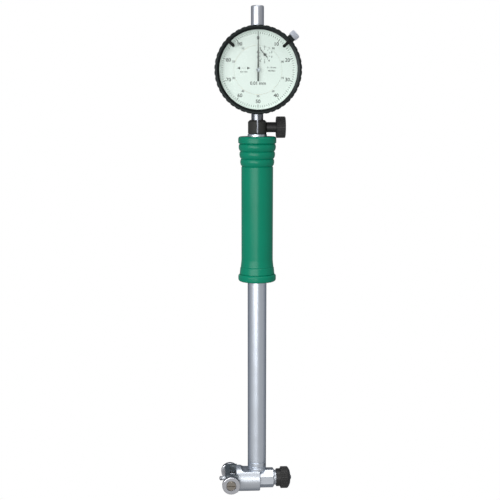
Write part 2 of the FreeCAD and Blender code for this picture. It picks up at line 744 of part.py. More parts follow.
def bell_crank():
    """Crank with two equal arms: one takes the spindle's push, the other lifts the push rod."""
    crank = new_body("bell_crank")
    low, high = "-crank_thickness / 2", "crank_thickness / 2"
    half = "crank_width / 2"
    padded(crank, "Z", disc("crank_boss_r"), low, high)
    padded(crank, "Z", rectangle(f"-{half}", half, "-crank_arm", "0"), low, high)
    padded(crank, "Z", rectangle("0", "crank_arm", f"-{half}", half), low, high)
    padded(crank, "Z", disc("crank_ball_r", "0", "-crank_arm"), low, high)
    padded(crank, "Z", disc("crank_ball_r", "crank_arm", "0"), low, high)
    pocketed(crank, "Z", disc("crank_pin_r + running"), low, high)
    return kept(placed(crank, across="-crank_arm", along="crank_arm"))


def crank_pin():
    """Pin that the bell crank turns on, pushed in from the back of the head."""
    profile = rod_profile("crank_pin_r", "-barrel_r + crank_pin_inset", crank_pin_front())
    return kept(turned_piece("crank_pin", "Z", profile, across="-crank_arm", along="crank_arm"))


def centring_bridge():
    """U-shaped bridge: a web round the contact and two arms that straddle the barrel and carry the rollers."""
    bridge = new_body("centring_bridge")
    outside, inside = "bridge_length / 2", "bridge_inside / 2"
    web = "web_right"
    channel = [
        ("-bridge_left", f"-{outside} + bridge_round", "bridge_round"),
        ("-bridge_left + bridge_round", f"-{outside}"),
        ("-bridge_right", f"-{outside}"),
        ("-bridge_right", f"-{inside}"),
        (web, f"-{inside}"),
        (web, inside),
        ("-bridge_right", inside),
        ("-bridge_right", outside),
        ("-bridge_left + bridge_round", outside, "bridge_round"),
        ("-bridge_left", f"{outside} - bridge_round"),
    ]
    padded(bridge, "Y", outline(channel), "-bridge_height / 2", "bridge_height / 2")
    pocketed(bridge, "X", disc("contact_hole_r"), "-bridge_left - edge", f"{web} + edge")
    for side in ("", "-"):
        guide = disc("guide_r + snug", "0", f"{side}guide_spread / 2")
        pocketed(bridge, "X", guide, "guide_foot", f"{web} + edge")
    thread = disc("axle_thread_r + snug", "-roller_x", "0")
    pocketed(bridge, "Z", thread, f"-{outside} - edge", f"-{inside} + edge")
    pocketed(bridge, "Z", thread, f"{inside} - edge", f"{outside} + edge")
    return kept(placed(bridge))


def bridge_guide_pins():
    """Two pins fixed in the bridge's web that slide in the barrel."""
    pins = []
    for number, side in enumerate(("", "-"), 1):
        profile = rod_profile("guide_r", "guide_foot", "-guide_end")
        up = f"{side}guide_spread / 2"
        pins.append(turned_piece(f"guide_pin_{number}", "X", profile, up=up))
    return grouped("bridge_guide_pins", pins)


def bridge_springs():
    """Two springs round the guide pins that push the bridge off the barrel."""
    along_x = FreeCAD.Rotation(FreeCAD.Vector(0, 1, 0), 90)
    start = "web_right + bridge_wire_r + snug"
    length = "-barrel_left + spring_pocket_depth - web_right - 2 * (bridge_wire_r + snug)"
    springs = []
    for number, side in enumerate(("", "-"), 1):
        springs.append(
            coil(
                f"bridge_spring_{number}",
                "guide_coil_r",
                "bridge_wire_r",
                length,
                "bridge_spring_turns",
                along_x,
                across=start,
                up=f"{side}guide_spread / 2",
            )
        )
    return grouped("bridge_springs", springs)


def roller(name, side):
    """Guide roller with a hub on its inner side and a recess round the screw head."""
    recess = "roller_length - roller_recess_depth"
    profile = [
        ("axle_r + running", "0"),
        ("roller_hub_r", "0"),
        ("roller_hub_r", "roller_hub_length"),
        ("roller_r - roller_crown", "roller_hub_length", "roller_crown"),
        ("roller_r", "roller_hub_length + roller_crown"),
        ("roller_r", "roller_length - roller_crown", "roller_crown"),
        ("roller_r - roller_crown", "roller_length"),
        ("roller_recess_r", "roller_length"),
        ("roller_recess_r", recess),
        ("axle_r + running", recess),
    ]
    up = f"{side}(bridge_length / 2 + running)"
    turn = ABOUT_X if side else None
    return kept(turned_piece(name, "Z", profile, across="-roller_x", up=up, turn=turn))


def roller_screw(name, side):
    """Shouldered screw that a roller turns on, with a slotted head."""
    screw = new_body(name)
    head_foot = "roller_length - roller_recess_depth + 2 * running"
    head_top = "roller_length + running + 0.3"
    turned(
        screw,
        "Z",
        [
            ("0", "-(bridge_length - bridge_inside) / 2"),
            ("axle_thread_r", "-(bridge_length - bridge_inside) / 2"),
            ("axle_thread_r", "0"),
            ("axle_r", "0"),
            ("axle_r", head_foot),
            ("axle_head_r", head_foot),
            ("axle_head_r", f"{head_top} - edge / 2"),
            ("axle_head_r - edge / 2", head_top),
            ("0", head_top),
        ],
    )
    slot = rectangle("-axle_head_r", "axle_head_r", "-axle_slot / 2", "axle_slot / 2")
    pocketed(screw, "Z", slot, f"{head_top} - axle_slot", f"{head_top} + edge")
    turn = ABOUT_X if side else None
    return kept(placed(screw, across="-roller_x", up=f"{side}bridge_length / 2", turn=turn))


def spacer_washer():
    """Thin washer that sets the anvil's length, between spigot and anvil."""
    ring = tube_profile("anvil_bore_r + running", "anvil_flange_r", "spigot_right", "anvil_flange")
    return kept(turned_piece("spacer_washer", "X", ring))


def anvil():
    """Interchangeable anvil: shank in the spigot, flange under the nut, domed nose."""
    dome = "anvil_dome_r - sqrt(anvil_dome_r ^ 2 - anvil_nose_r ^ 2)"
    profile = [
        ("0", "octagon_right + edge"),
        ("anvil_bore_r - snug", "octagon_right + edge"),
        ("anvil_bore_r - snug", "anvil_flange"),
        ("anvil_flange_r", "anvil_flange"),
        ("anvil_flange_r", "anvil_nose"),
        ("anvil_nose_r", "anvil_nose"),
        ("anvil_nose_r", f"anvil_right - ({dome})", "anvil_dome_r"),
        ("0", "anvil_right"),
    ]
    return kept(turned_piece("anvil", "X", profile))


def anvil_nut():
    """Knurled lock nut with a plain collar and a curved right end."""
    nut = new_body("anvil_nut")
    pocket_end = "anvil_nose + running"
    turned(
        nut,
        "X",
        [
            ("spigot_r + running", "nut_left"),
            ("nut_collar_r - edge", "nut_left"),
            ("nut_collar_r", "nut_left + edge"),
            ("nut_collar_r", "nut_knurl"),
            ("nut_r - edge", "nut_knurl"),
            ("nut_r", "nut_knurl + edge"),
            ("nut_r", "nut_knurl_end - edge"),
            ("nut_r - edge", "nut_knurl_end", "nut_cone_r"),
            ("nut_face_r", "nut_right"),
            ("anvil_nose_r + 2 * running", "nut_right"),
            ("anvil_nose_r + 2 * running", pocket_end),
            ("spigot_r + running", pocket_end),
        ],
    )
    fluted(nut, "X", "nut_r", "nut_knurl", "nut_knurl_end", "nut_flutes")
    return kept(placed(nut))


# ---------------------------------------------------------------- tube, push rod and grip


def tube_ferrule():
    """Ferrule between head and tube: it seats in the head, guides the push rod and carries the tube."""
    flat = "half_octagon"
    groove = "ferrule_groove"
    grooves = []
    for share in ("0.3", "0.45"):
        station = f"{flat} + {share} * ferrule_length"
        grooves += [
            ("tube_r", f"{station} - {groove}"),
            (f"tube_r - {groove}", station),
            ("tube_r", f"{station} + {groove}"),
        ]
    bell = "crank_arm + crank_ball_r + travel + edge"
    profile = [
        ("passage_r", "socket_floor"),
        ("socket_r", "socket_floor"),
        ("socket_r", flat),
        ("tube_r", flat),
        *grooves,
        ("tube_r", "ferrule_top - edge"),
        ("tube_r - edge", "ferrule_top"),
        ("tube_bore_r - snug", "ferrule_top"),
        ("tube_bore_r - snug", "ferrule_top + ferrule_spigot"),
        ("rod_r + running", "ferrule_top + ferrule_spigot"),
        ("rod_r + running", f"{bell} + edge"),
        ("passage_r", f"{bell} + edge"),
    ]
    return kept(turned_piece("tube_ferrule", "Y", profile))


def tube():
    """Long tube from the ferrule, through the grip, to the clamp collar."""
    floor = "tube_top - tube_socket_depth"
    profile = [
        ("tube_bore_r", "ferrule_top"),
        ("tube_r - edge / 2", "ferrule_top"),
        ("tube_r", "ferrule_top + edge / 2"),
        ("tube_r", "tube_top - edge"),
        ("tube_r - edge", "tube_top"),
        ("tube_socket_r", "tube_top"),
        ("tube_socket_r", floor),
        ("tube_bore_r", floor),
    ]
    return kept(turned_piece("tube", "Y", profile))


def push_rod():
    """Rod that carries the stroke up the tube, with a collar for its spring."""
    foot = "crank_arm + crank_ball_r + snug"
    profile = [
        ("0", foot),
        ("rod_r", foot),
        ("rod_r", "rod_collar"),
        ("rod_collar_r", "rod_collar"),
        ("rod_collar_r", "rod_collar + rod_collar_length"),
        ("rod_r", "rod_collar + rod_collar_length"),
        ("rod_r", "rod_top"),
        ("0", "rod_top"),
    ]
    return kept(turned_piece("push_rod", "Y", profile))


def rod_guide():
    """Upper guide of the push rod, fixed in the tube; the rod spring leans on it."""
    ring = tube_profile("rod_r + running", "tube_bore_r - snug", "guide_low", "guide_low + guide_length")
    return kept(turned_piece("rod_guide", "Y", ring))


def rod_spring():
    """Spring that pushes the rod down onto the bell crank."""
    collar_top = "rod_collar + rod_collar_length"
    wire = "rod_wire_r + snug"
    along_y = FreeCAD.Rotation(FreeCAD.Vector(1, 0, 0), -90)
    length = f"guide_low - ({collar_top}) - 2 * ({wire})"
    radius = "rod_collar_r - rod_wire_r"
    return kept(coil("rod_spring", radius, "rod_wire_r", length, "rod_spring_turns", along_y, along=f"{collar_top} + {wire}"))


def grip():
    """Plastic grip with a plain middle, a flared foot of two rings and a head of four rings."""
    foot_groove = "grip_low + ring_length"
    step_groove = "grip_low + 2 * ring_length"
    profile = [
        ("tube_r + snug", "grip_low"),
        ("grip_foot_r - ring_round", "grip_low", "ring_round"),
        ("grip_foot_r", "grip_low + ring_round"),
        ("grip_foot_r", f"{foot_groove} - ring_round", "ring_round"),
        ("grip_foot_step_r - ring_groove", foot_groove, "-ring_groove"),
        ("grip_foot_step_r", f"{foot_groove} + ring_groove"),
        ("grip_foot_step_r - ring_groove", f"{step_groove} - ring_groove"),
        ("grip_foot_step_r - 2 * ring_groove", step_groove),
        ("grip_r + ring_groove", f"{step_groove} + ring_groove", "-flare_r"),
        ("grip_r", "grip_low + 3 * ring_length"),
        ("grip_r", "grip_top - 4 * ring_length - ring_groove"),
    ]
    drop = "(grip_head_r - grip_r) / 4"
    for ring in (4, 3, 2):
        foot = f"grip_top - {ring} * ring_length"
        outer = f"grip_head_r - {ring - 1} * {drop}"
        profile += [
            (f"{outer} - {drop} - ring_groove", foot),
            (f"{outer} - {drop} / 2", f"{foot} + 2 * ring_groove", "ring_length"),
            (outer, f"{foot} + ring_length - ring_groove"),
        ]
    profile += [
        (f"grip_head_r - {drop} - ring_groove", "grip_top - ring_length"),
        ("grip_head_r", "grip_top - ring_length + ring_groove + edge"),
        ("grip_head_r", "grip_top - ring_round", "ring_round"),
        ("grip_head_r - ring_round", "grip_top"),
        ("tube_r + snug", "grip_top"),
    ]
    return kept(turned_piece("grip", "Y", profile))


# ---------------------------------------------------------------- clamp


def clamp_collar():
    """Split collar that holds the indicator's stem, with a spigot inside the tube."""
    collar = new_body("clamp_collar")
    bore = "stem_r + snug"
    turned(
        collar,
        "Y",
        [
            (bore, "tube_top - collar_spigot"),
            ("tube_socket_r - snug", "tube_top - collar_spigot"),
            ("tube_socket_r - snug", "tube_top"),
            ("collar_r - edge", "tube_top"),
            ("collar_r", "tube_top + edge"),
            ("collar_r", "collar_top - collar_edge"),
            ("collar_r - collar_edge", "collar_top"),
            (bore, "collar_top"),
        ],
    )
    slit = rectangle("-slit_width / 2", "slit_width / 2", "tube_top + edge", "collar_top + edge")
    pocketed(collar, "Z", slit, "0", "collar_r + edge")
    pocketed(collar, "X", disc("clamp_thread_r + running", "clamp_y", "0"), "0", "collar_r + edge")
    return kept(placed(collar))


def clamp_screw():
    """Thumb screw that presses on the stem through the collar's side."""
    screw = new_body("clamp_screw")
    knob_end = "clamp_neck_end + clamp_knob_length"
    turned(
        screw,
        "X",
        [
            ("0", "stem_r + running"),
            ("clamp_thread_r", "stem_r + running"),
            ("clamp_thread_r", "collar_r + running"),
            ("clamp_neck_r", "collar_r + running"),
            ("clamp_neck_r", "clamp_neck_end"),
            ("clamp_knob_r - edge", "clamp_neck_end"),
            ("clamp_knob_r", "clamp_neck_end + edge"),
            ("clamp_knob_r", f"{knob_end} - edge"),
            ("clamp_knob_r - edge", knob_end),
            ("0", knob_end),
        ],
    )
    fluted(screw, "X", "clamp_knob_r", "clamp_neck_end", knob_end, "clamp_flutes")
    return kept(placed(screw, along="clamp_y"))


# ---------------------------------------------------------------- indicator case


def dial_case():
    """Round case: wall, shelf for the movement plate, lugs for the cover screws, holes for stem and cap."""
    case = new_body("dial_case")
    back, inside = "-case_depth", "case_inside"
    turned(
        case,
        "Z",
        [
            (inside, back),
            ("case_r - edge", back),
            ("case_r", f"{back} + edge"),
            ("case_r", "case_front"),
            (inside, "case_front"),
            (inside, "plate_back"),
            ("shelf_r", "plate_back"),
            ("shelf_r", "shelf_back"),
            (inside, "shelf_back"),
        ],
    )
    for across, along in screw_places():
        padded(case, "Z", disc("lug_r + edge", across, along), back, "plate_back")
        pocketed(case, "Z", disc("cover_screw_r + snug", across, along), back, "0")
    pocketed(case, "Y", disc("stem_r + snug"), "-case_r - edge", "-shelf_r + edge")
    pocketed(case, "Y", disc("stem_r + snug"), "shelf_r - edge", "case_r + edge")
    return kept(placed(case, along="dial_y"))


def screw_places():
    """Where the four cover screws sit, from the dial line."""
    step = "cover_screw_ring * sqrt(0.5)"
    return [(f"{across}{step}", f"{along}{step}") for across in ("", "-") for along in ("", "-")]


def back_cover():
    """Flat back cover, which the gauge rests on."""
    cover = new_body("back_cover")
    turned(
        cover,
        "Z",
        [
            ("0", "-cover_back"),
            ("cover_r - edge", "-cover_back"),
            ("cover_r", "-cover_back + edge"),
            ("cover_r", "-case_depth"),
            ("0", "-case_depth"),
        ],
    )
    for across, along in screw_places():
        low, high = "-cover_back - edge", "-case_depth + edge"
        pocketed(cover, "Z", disc("cover_screw_r + running", across, along), low, high)
        recess = disc("cover_screw_head_r + running", across, along)
        pocketed(cover, "Z", recess, low, "-cover_back + cover_length / 2")
    return kept(placed(cover, along="dial_y"))


def back_cover_screws():
    """Four screws, their heads flush in the back cover."""
    screws = []
    seat = "-cover_back + cover_length / 2"
    profile = [
        ("0", "-cover_back"),
        ("cover_screw_head_r", "-cover_back"),
        ("cover_screw_head_r", seat),
        ("cover_screw_r", seat),
        ("cover_screw_r", "-edge"),
        ("0", "-edge"),
    ]
    for number, (across, along) in enumerate(screw_places(), 1):
        place = {"across": across, "along": f"dial_y + {along}"}
        screws.append(turned_piece(f"cover_screw_{number}", "Z", profile, **place))
    return grouped("back_cover_screws", screws)


def stem():
    """Stem that the collar clamps, seated in the case wall and bored for the plunger."""
    profile = [
        ("plunger_r + running", "stem_low"),
        ("stem_r - edge", "stem_low"),
        ("stem_r", "stem_low + edge"),
        ("stem_r", "stem_top"),
        ("plunger_r + running", "stem_top"),
    ]
    return kept(turned_piece("stem", "Y", profile))


def plunger_cap():
    """Cap over the plunger's top end, seated in the case wall."""
    low = "dial_y + case_inside"
    shoulder = "dial_y + case_r"
    profile = [
        ("plunger_r + running", low),
        ("stem_r", low),
        ("stem_r", shoulder),
        ("cap_r", shoulder),
        ("cap_r", "cap_top - cap_round", "cap_round"),
        ("cap_r - cap_round", "cap_top"),
        ("0", "cap_top"),
        ("0", "cap_bore_top"),
        ("plunger_r + running", "cap_bore_top"),
    ]
    return kept(turned_piece("plunger_cap", "Y", profile))


def plunger():
    """Plunger with the rack that drives the movement cut into its left side."""
    rack = new_body("plunger")
    turned(rack, "Y", rod_profile("plunger_r", "plunger_low", "plunger_top"))
    first = "dial_y - sub_y - floor(rack_teeth / 2) * rack_pitch"
    root = "-plunger_r + rack_depth"
    outer = "-plunger_r - edge"
    gap = [
        (outer, f"{first} + 0.45 * rack_pitch"),
        (outer, f"{first} - 0.45 * rack_pitch"),
        (root, f"{first} - 0.2 * rack_pitch"),
        (root, f"{first} + 0.2 * rack_pitch"),
    ]
    tooth_gap = pocketed(rack, "Z", outline(gap), "-plunger_r", "plunger_r")
    document.recompute()
    teeth = rack.newObject("PartDesign::LinearPattern", "plunger_rack")
    teeth.Originals = [tooth_gap]
    teeth.Direction = (tooth_gap.Profile[0], ["V_Axis"])
    teeth.setExpression("Length", bound("(rack_teeth - 1) * rack_pitch"))
    teeth.setExpression("Occurrences", bound("rack_teeth"))
    rack.Tip = teeth
    return kept(placed(rack))


def contact_point():
    """Domed point on the plunger's foot, which the push rod lifts."""
    dome = "point_dome_r - sqrt(point_dome_r ^ 2 - point_r ^ 2)"
    profile = [
        ("0", "rod_top + running", "point_dome_r"),
        ("point_r", f"rod_top + running + {dome}"),
        ("point_r", "plunger_low"),
        ("0", "plunger_low"),
    ]
    return kept(turned_piece("contact_point", "Y", profile))


def plunger_spring():
    """Spring in the cap that pushes the plunger out."""
    along_y = FreeCAD.Rotation(FreeCAD.Vector(1, 0, 0), -90)
    wire = "plunger_wire_r + snug"
    length = f"cap_bore_top - plunger_top - 2 * ({wire})"
    place = {"along": f"plunger_top + {wire}"}
    return kept(coil("plunger_spring", "plunger_r * 0.75", "plunger_wire_r", length, "plunger_spring_turns", along_y, **place))


# ---------------------------------------------------------------- movement


def movement_plate():
    """Front plate of the movement, on the case's shelf, bored for the three arbors and the dial's feet."""
    plate = new_body("movement_plate")
    padded(plate, "Z", disc("case_inside - snug"), "plate_back", "plate_front")
    for across, along in (("0", "0"), ("sub_x", "sub_y"), ("-sub_x", "-sub_y")):
        pocketed(plate, "Z", disc("arbor_r + running", across, along), "plate_back - edge", "plate_front + edge")
    return kept(placed(plate, along="dial_y"))


def movement_bridge():
    """Rear plate that carries the back ends of the two outer arbors."""
    bridge = new_body("movement_bridge")
    front = "-bridge_back + bridge_thickness"
    padded(bridge, "Z", disc("bridge_disc_r"), "-bridge_back", front)
    for side in ("", "-"):
        hole = disc("arbor_r + running", f"{side}sub_x", f"{side}sub_y")
        pocketed(bridge, "Z", hole, "-bridge_back - edge", f"{front} + edge")
    return kept(placed(bridge, along="dial_y"))


def movement_pillars():
    """Two pillars that hold the movement's plates apart."""
    pillars = []
    profile = rod_profile("pillar_r", "-bridge_back + bridge_thickness", "plate_back")
    for number, side in enumerate(("", "-"), 1):
        place = {"across": f"{side}pillar_x", "along": f"dial_y - {side}pillar_y"}
        pillars.append(turned_piece(f"pillar_{number}", "Z", profile, **place))
    return grouped("movement_pillars", pillars)


def toothed(teeth, pitch_r, depth, back, front, phase=0.0):
    """A spur gear with straight-sided teeth; one tooth points in the direction phase, in degrees."""
    step = 2 * math.pi / teeth
    tip_share, root_share = 0.13, 0.33
    corners = []
    for tooth in range(teeth):
        middle = math.radians(phase) + tooth * step
        for radius, share in (
            (pitch_r - depth * 0.55, -root_share),
            (pitch_r + depth * 0.4, -tip_share),
            (pitch_r + depth * 0.4, tip_share),
            (pitch_r - depth * 0.55, root_share),
        ):
            angle = middle + share * step
            corners.append(FreeCAD.Vector(radius * math.cos(angle), radius * math.sin(angle), back))
    face = Part.Face(Part.makePolygon(corners + corners[:1]))
    return face.extrude(FreeCAD.Vector(0, 0, front - back))


def geared_arbor(name, back, front, gears, across, along):
    """An arbor with its gears, each (teeth, pitch radius, tooth depth, back, front, phase)."""
    arbor_r = value("arbor_r")
    solid = Part.makeCylinder(arbor_r, front - back, FreeCAD.Vector(0, 0, back))
    for gear in gears:
        solid = solid.fuse(toothed(*gear))
    piece = document.addObject("Part::Feature", name)
    piece.Label = name
    piece.Shape = solid.removeSplitter()
    return kept(placed(piece, across=across, along=along))


def gear_sizes():
    """Direction from the lower arbor to the dial line, and the large wheels' and pinion's pitch radii."""
    distance = math.hypot(value("sub_x"), value("sub_y"))
    direction = math.degrees(math.atan2(value("sub_y"), value("sub_x")))
    module = 2 * distance / (value("wheel_teeth") + value("centre_teeth"))
    return direction, module, module * value("wheel_teeth") / 2, module * value("centre_teeth") / 2


def rack_wheel():
    """Arbor that the rack turns: its pinion meshes with the plunger, its wheel with the centre pinion."""
    direction, module, wheel_r, _ = gear_sizes()
    pinion_r = value("rack_pinion_teeth * rack_pitch") / (2 * math.pi)
    half, back = value("pinion_half"), value("wheel_back")
    gears = [
        (int(value("rack_pinion_teeth")), pinion_r, value("rack_pitch") * 0.6, -half, half, 0.0),
        (int(value("wheel_teeth")), wheel_r, 2 * module, back, back + value("wheel_thickness"), direction),
    ]
    front = value("plate_front - running")
    return geared_arbor("rack_wheel", value("-bridge_back"), front, gears, "-sub_x", "dial_y - sub_y")


def turns_wheel():
    """Arbor of the small pointer: a wheel turned by the centre pinion and held against play by the hairspring."""
    direction, module, wheel_r, _ = gear_sizes()
    back = value("wheel_back")
    front = back + value("wheel_thickness")
    gears = [(int(value("wheel_teeth")), wheel_r, 2 * module, back, front, direction + 180)]
    top = value("turns_hand_back")
    return geared_arbor("turns_wheel", value("-bridge_back"), top, gears, "sub_x", "dial_y + sub_y")


def centre_pinion():
    """Pinion of the large pointer."""
    direction, module, _, pinion_r = gear_sizes()
    teeth = int(value("centre_teeth"))
    back = value("centre_back")
    gap_to_wheel = direction + FULL_TURN / teeth / 2
    gears = [(teeth, pinion_r, 2 * module, back, back + value("centre_length"), gap_to_wheel)]
    return geared_arbor("centre_pinion", back, value("main_hand_back"), gears, "0", "dial_y")


def half_circles(radius, growth, count):
    """Edges of a spiral made of half circles, whose centres take turns at two places on the X axis."""
    edges = []
    for number in range(count):
        side = 1 if number % 2 == 0 else -1
        centre = growth if number % 2 else 0.0
        reach = radius + growth * number
        start = FreeCAD.Vector(centre + side * reach, 0, 0)
        middle = FreeCAD.Vector(centre, side * reach, 0)
        finish = FreeCAD.Vector(centre - side * reach, 0, 0)
        edges.append(Part.Arc(start, middle, finish))
    return edges


def hairspring():
    """Flat spiral round the turns wheel's arbor, which takes up the play of the teeth."""
    start, count = value("hairspring_r"), int(value("hairspring_turns")) * 2
    growth = value("hairspring_pitch") / 2
    inner = half_circles(start, growth, count)
    outer = half_circles(start + value("hairspring_wire"), growth, count)
    first = Part.LineSegment(inner[0].StartPoint, outer[0].StartPoint)
    last = Part.LineSegment(inner[-1].EndPoint, outer[-1].EndPoint)
    edges = [curve.toShape() for curve in (*inner, last, *outer, first)]
    band = Part.Face(Part.Wire(Part.__sortEdges__(edges)))
    band.translate(FreeCAD.Vector(0, 0, -value("hairspring_back")))
    piece = document.addObject("Part::Feature", "hairspring")
    piece.Label = "hairspring"
    piece.Shape = band.extrude(FreeCAD.Vector(0, 0, value("hairspring_width")))
    return kept(placed(piece, across="sub_x", along="dial_y + sub_y"))


# ---------------------------------------------------------------- dial, crystal and pointers


def scale_ring():
    """Outer dial ring with its raised rim; it turns with the bezel."""
    profile = [
        ("centre_dial_r + 2 * running", "dial_back"),
        ("dial_r", "dial_back"),
        ("dial_r", "rehaut_top"),
        ("rehaut_top_r", "rehaut_top"),
        ("rehaut_foot_r", "dial_front"),
        ("centre_dial_r + 2 * running", "dial_front"),
    ]
    return kept(turned_piece("scale_ring", "Z", profile, along="dial_y"))


def centre_dial():
    """Fixed centre disc on three feet, with holes for the two arbors."""
    dial = new_body("centre_dial")
    padded(dial, "Z", disc("centre_dial_r"), "dial_back", "dial_front")
    foot_ring = "(centre_dial_r - 2 * pillar_r)"
    for across, along in ((f"-{foot_ring}", "0"), (foot_ring, "0"), ("0", f"-{foot_ring}")):
        padded(dial, "Z", disc("pillar_r / 2", across, along), "plate_front", "dial_back")
    for across, along in (("0", "0"), ("sub_x", "sub_y")):
        hole = disc("arbor_r + 2 * running", across, along)
        pocketed(dial, "Z", hole, "dial_back - edge", "dial_front + edge")
    return kept(placed(dial, along="dial_y"))


def crystal():
    """Clear flat crystal on the dial's rim."""
    profile = [
        ("0", "crystal_back"),
        ("dial_r", "crystal_back"),
        ("dial_r", "crystal_front"),
        ("0", "crystal_front"),
    ]
    return kept(turned_piece("crystal", "Z", profile, along="dial_y"))


def hand(name, hub_r, back, reach, tail, width, direction, across, along):
    """A tapered pointer with a tail and a round hub that caps its arbor."""
    pointer = new_body(name)
    front = f"{back} + hand_thickness"
    blade = [
        (f"-{tail}", f"-{width} / 2"),
        ("0", f"-{width} / 2"),
        (reach, "-hand_point / 2"),
        (reach, "hand_point / 2"),
        ("0", f"{width} / 2"),
        (f"-{tail}", f"{width} / 2"),
    ]
    padded(pointer, "Z", disc(hub_r), back, f"{front} + hand_thickness")
    padded(pointer, "Z", outline(blade), back, front)
    return kept(placed(pointer, across=across, along=along, direction=direction))


def main_pointer():
    """Large pointer, at zero: it points up the dial."""
    width = "main_hand_width"
    sizes = ("hand_hub_r", "main_hand_back", "main_hand_reach", "main_hand_tail", width)
    return hand("main_pointer", *sizes, "90", "0", "dial_y")


def turns_pointer():
    """Small pointer that counts the turns."""
    sizes = ("turns_hub_r", "turns_hand_back", "turns_hand_reach", "turns_hand_tail", "main_hand_width / 2")
    return hand("turns_pointer", *sizes, "turns_hand_angle", "sub_x", "dial_y + sub_y")


# ---------------------------------------------------------------- bezel and its lock


def bezel():
    """Scalloped ring that holds dial ring and crystal and turns on the case."""
    ring = new_body("bezel")
    skirt = "case_r + running"
    turned(
        ring,
        "Z",
        [
            (skirt, "bezel_back"),
            ("bezel_r - edge", "bezel_back"),
            ("bezel_r", "bezel_back + edge"),
            ("bezel_r", "bezel_front - bezel_edge", "bezel_edge"),
            ("bezel_r - bezel_edge", "bezel_front"),
            ("bezel_bevel_r", "bezel_front"),
            ("bezel_lip_r", "bezel_lip_front"),
            ("bezel_lip_r", "crystal_front + running"),
            ("dial_r + snug", "crystal_front + running"),
            ("dial_r + snug", "case_front + 2 * running"),
            (skirt, "case_front + 2 * running"),
        ],
    )
    scallop = disc("scallop_r", "bezel_r - scallop_depth + scallop_r", "0")
    groove = pocketed(ring, "Z", scallop, "bezel_back", "bezel_front")
    repeated_round(ring, groove, "Z", "scallops")
    return kept(placed(ring, along="dial_y"))


def limit_marker(name, direction):
    """Marker that lies on the bezel's front and reaches in over the crystal with a round tip."""
    marker = new_body(name)
    half = "marker_width / 2"
    low, high = "bezel_front + running", "bezel_front + running + marker_thickness"
    padded(marker, "Z", rectangle(f"marker_tip + {half}", "marker_outer", f"-{half}", half), low, high)
    padded(marker, "Z", disc(half, f"marker_tip + {half}", "0"), low, high)
    return kept(placed(marker, along="dial_y", direction=direction))


def bezel_clamp_lug():
    """Small lug on the case, beside the bezel, that takes the lock screw."""
    lug = new_body("bezel_clamp_lug")
    ell = [
        ("case_r + snug", "lock_foot_back"),
        ("lock_outer", "lock_foot_back"),
        ("lock_outer", "lock_top"),
        ("lock_inner", "lock_top"),
        ("lock_inner", "bezel_back - 2 * running"),
        ("case_r + snug", "bezel_back - 2 * running"),
    ]
    padded(lug, "Y", outline(ell), "-lock_width / 2", "lock_width / 2")
    pocketed(lug, "X", disc("lock_thread_r + running", "0", "lock_z"), "lock_inner - edge", "lock_outer + edge")
    return kept(placed(lug, along="dial_y", direction="lock_angle"))


def bezel_clamp_screw():
    """Knurled thumb screw that locks the bezel."""
    screw = new_body("bezel_clamp_screw")
    tip, knob = "bezel_r + running", "lock_knob"
    turned(
        screw,
        "X",
        [
            ("0", tip),
            ("lock_thread_r", tip),
            ("lock_thread_r", knob),
            ("lock_knob_r - edge", knob),
            ("lock_knob_r", f"{knob} + edge"),
            ("lock_knob_r", "lock_knob_end - edge"),
            ("lock_knob_r - edge", "lock_knob_end"),
            ("0", "lock_knob_end"),
        ],
    )
    fluted(screw, "X", "lock_knob_r", knob, "lock_knob_end", "lock_flutes")
    return kept(placed(screw, along="dial_y", up="lock_z", direction="lock_angle"))


# ---------------------------------------------------------------- the whole gauge


def build():
    """Model every piece."""
    head_body()
    spindle_bush()
    contact_spindle()
    contact_tip()
    bell_crank()
    crank_pin()
    centring_bridge()
    bridge_guide_pins()
    bridge_springs()
    for name, side in (("front", ""), ("rear", "-")):
        roller(f"roller_{name}", side)
        roller_screw(f"roller_screw_{name}", side)
    spacer_washer()
    anvil()
    anvil_nut()
    tube_ferrule()
    tube()
    push_rod()
    rod_guide()
    rod_spring()
    grip()
    clamp_collar()
    clamp_screw()
    dial_case()
    back_cover()
    back_cover_screws()
    stem()
    plunger_cap()
    plunger()
    contact_point()
    plunger_spring()
    movement_plate()
    movement_bridge()
    movement_pillars()
    rack_wheel()
    turns_wheel()
    centre_pinion()
    hairspring()
    scale_ring()
    centre_dial()
    crystal()
    main_pointer()
    turns_pointer()
    bezel()
    limit_marker("limit_marker_left", "marker_angle_left")
    limit_marker("limit_marker_right", "marker_angle_right")
    bezel_clamp_lug()
    bezel_clamp_screw()


def check():
    """Stop if any object failed or any piece is not a valid shape."""
    for item in document.Objects:
        if {"Invalid", "Error"} & set(item.State):
            raise RuntimeError(f"{item.Label} failed: {item.State}")
    for piece in parts:
        if piece.Shape.isNull() or not piece.Shape.isValid():
            raise RuntimeError(f"{piece.Label} is not a valid shape")


def export():
    """Write one STEP file for each piece."""
    os.makedirs("parts", exist_ok=True)
    for piece in parts:
        piece.Shape.exportStep(os.path.join("parts", piece.Label + ".step"))


fill_sheet()
build()
document.recompute()
check()
export()
print(f"{len(parts)} pieces")
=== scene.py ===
"""Looks of a dial bore gauge: the print on its dial, its threads and trim, its finishes, camera and light."""

import json
import logging
import math
from dataclasses import dataclass, field
from enum import Enum
from typing import Any, Mapping, Sequence

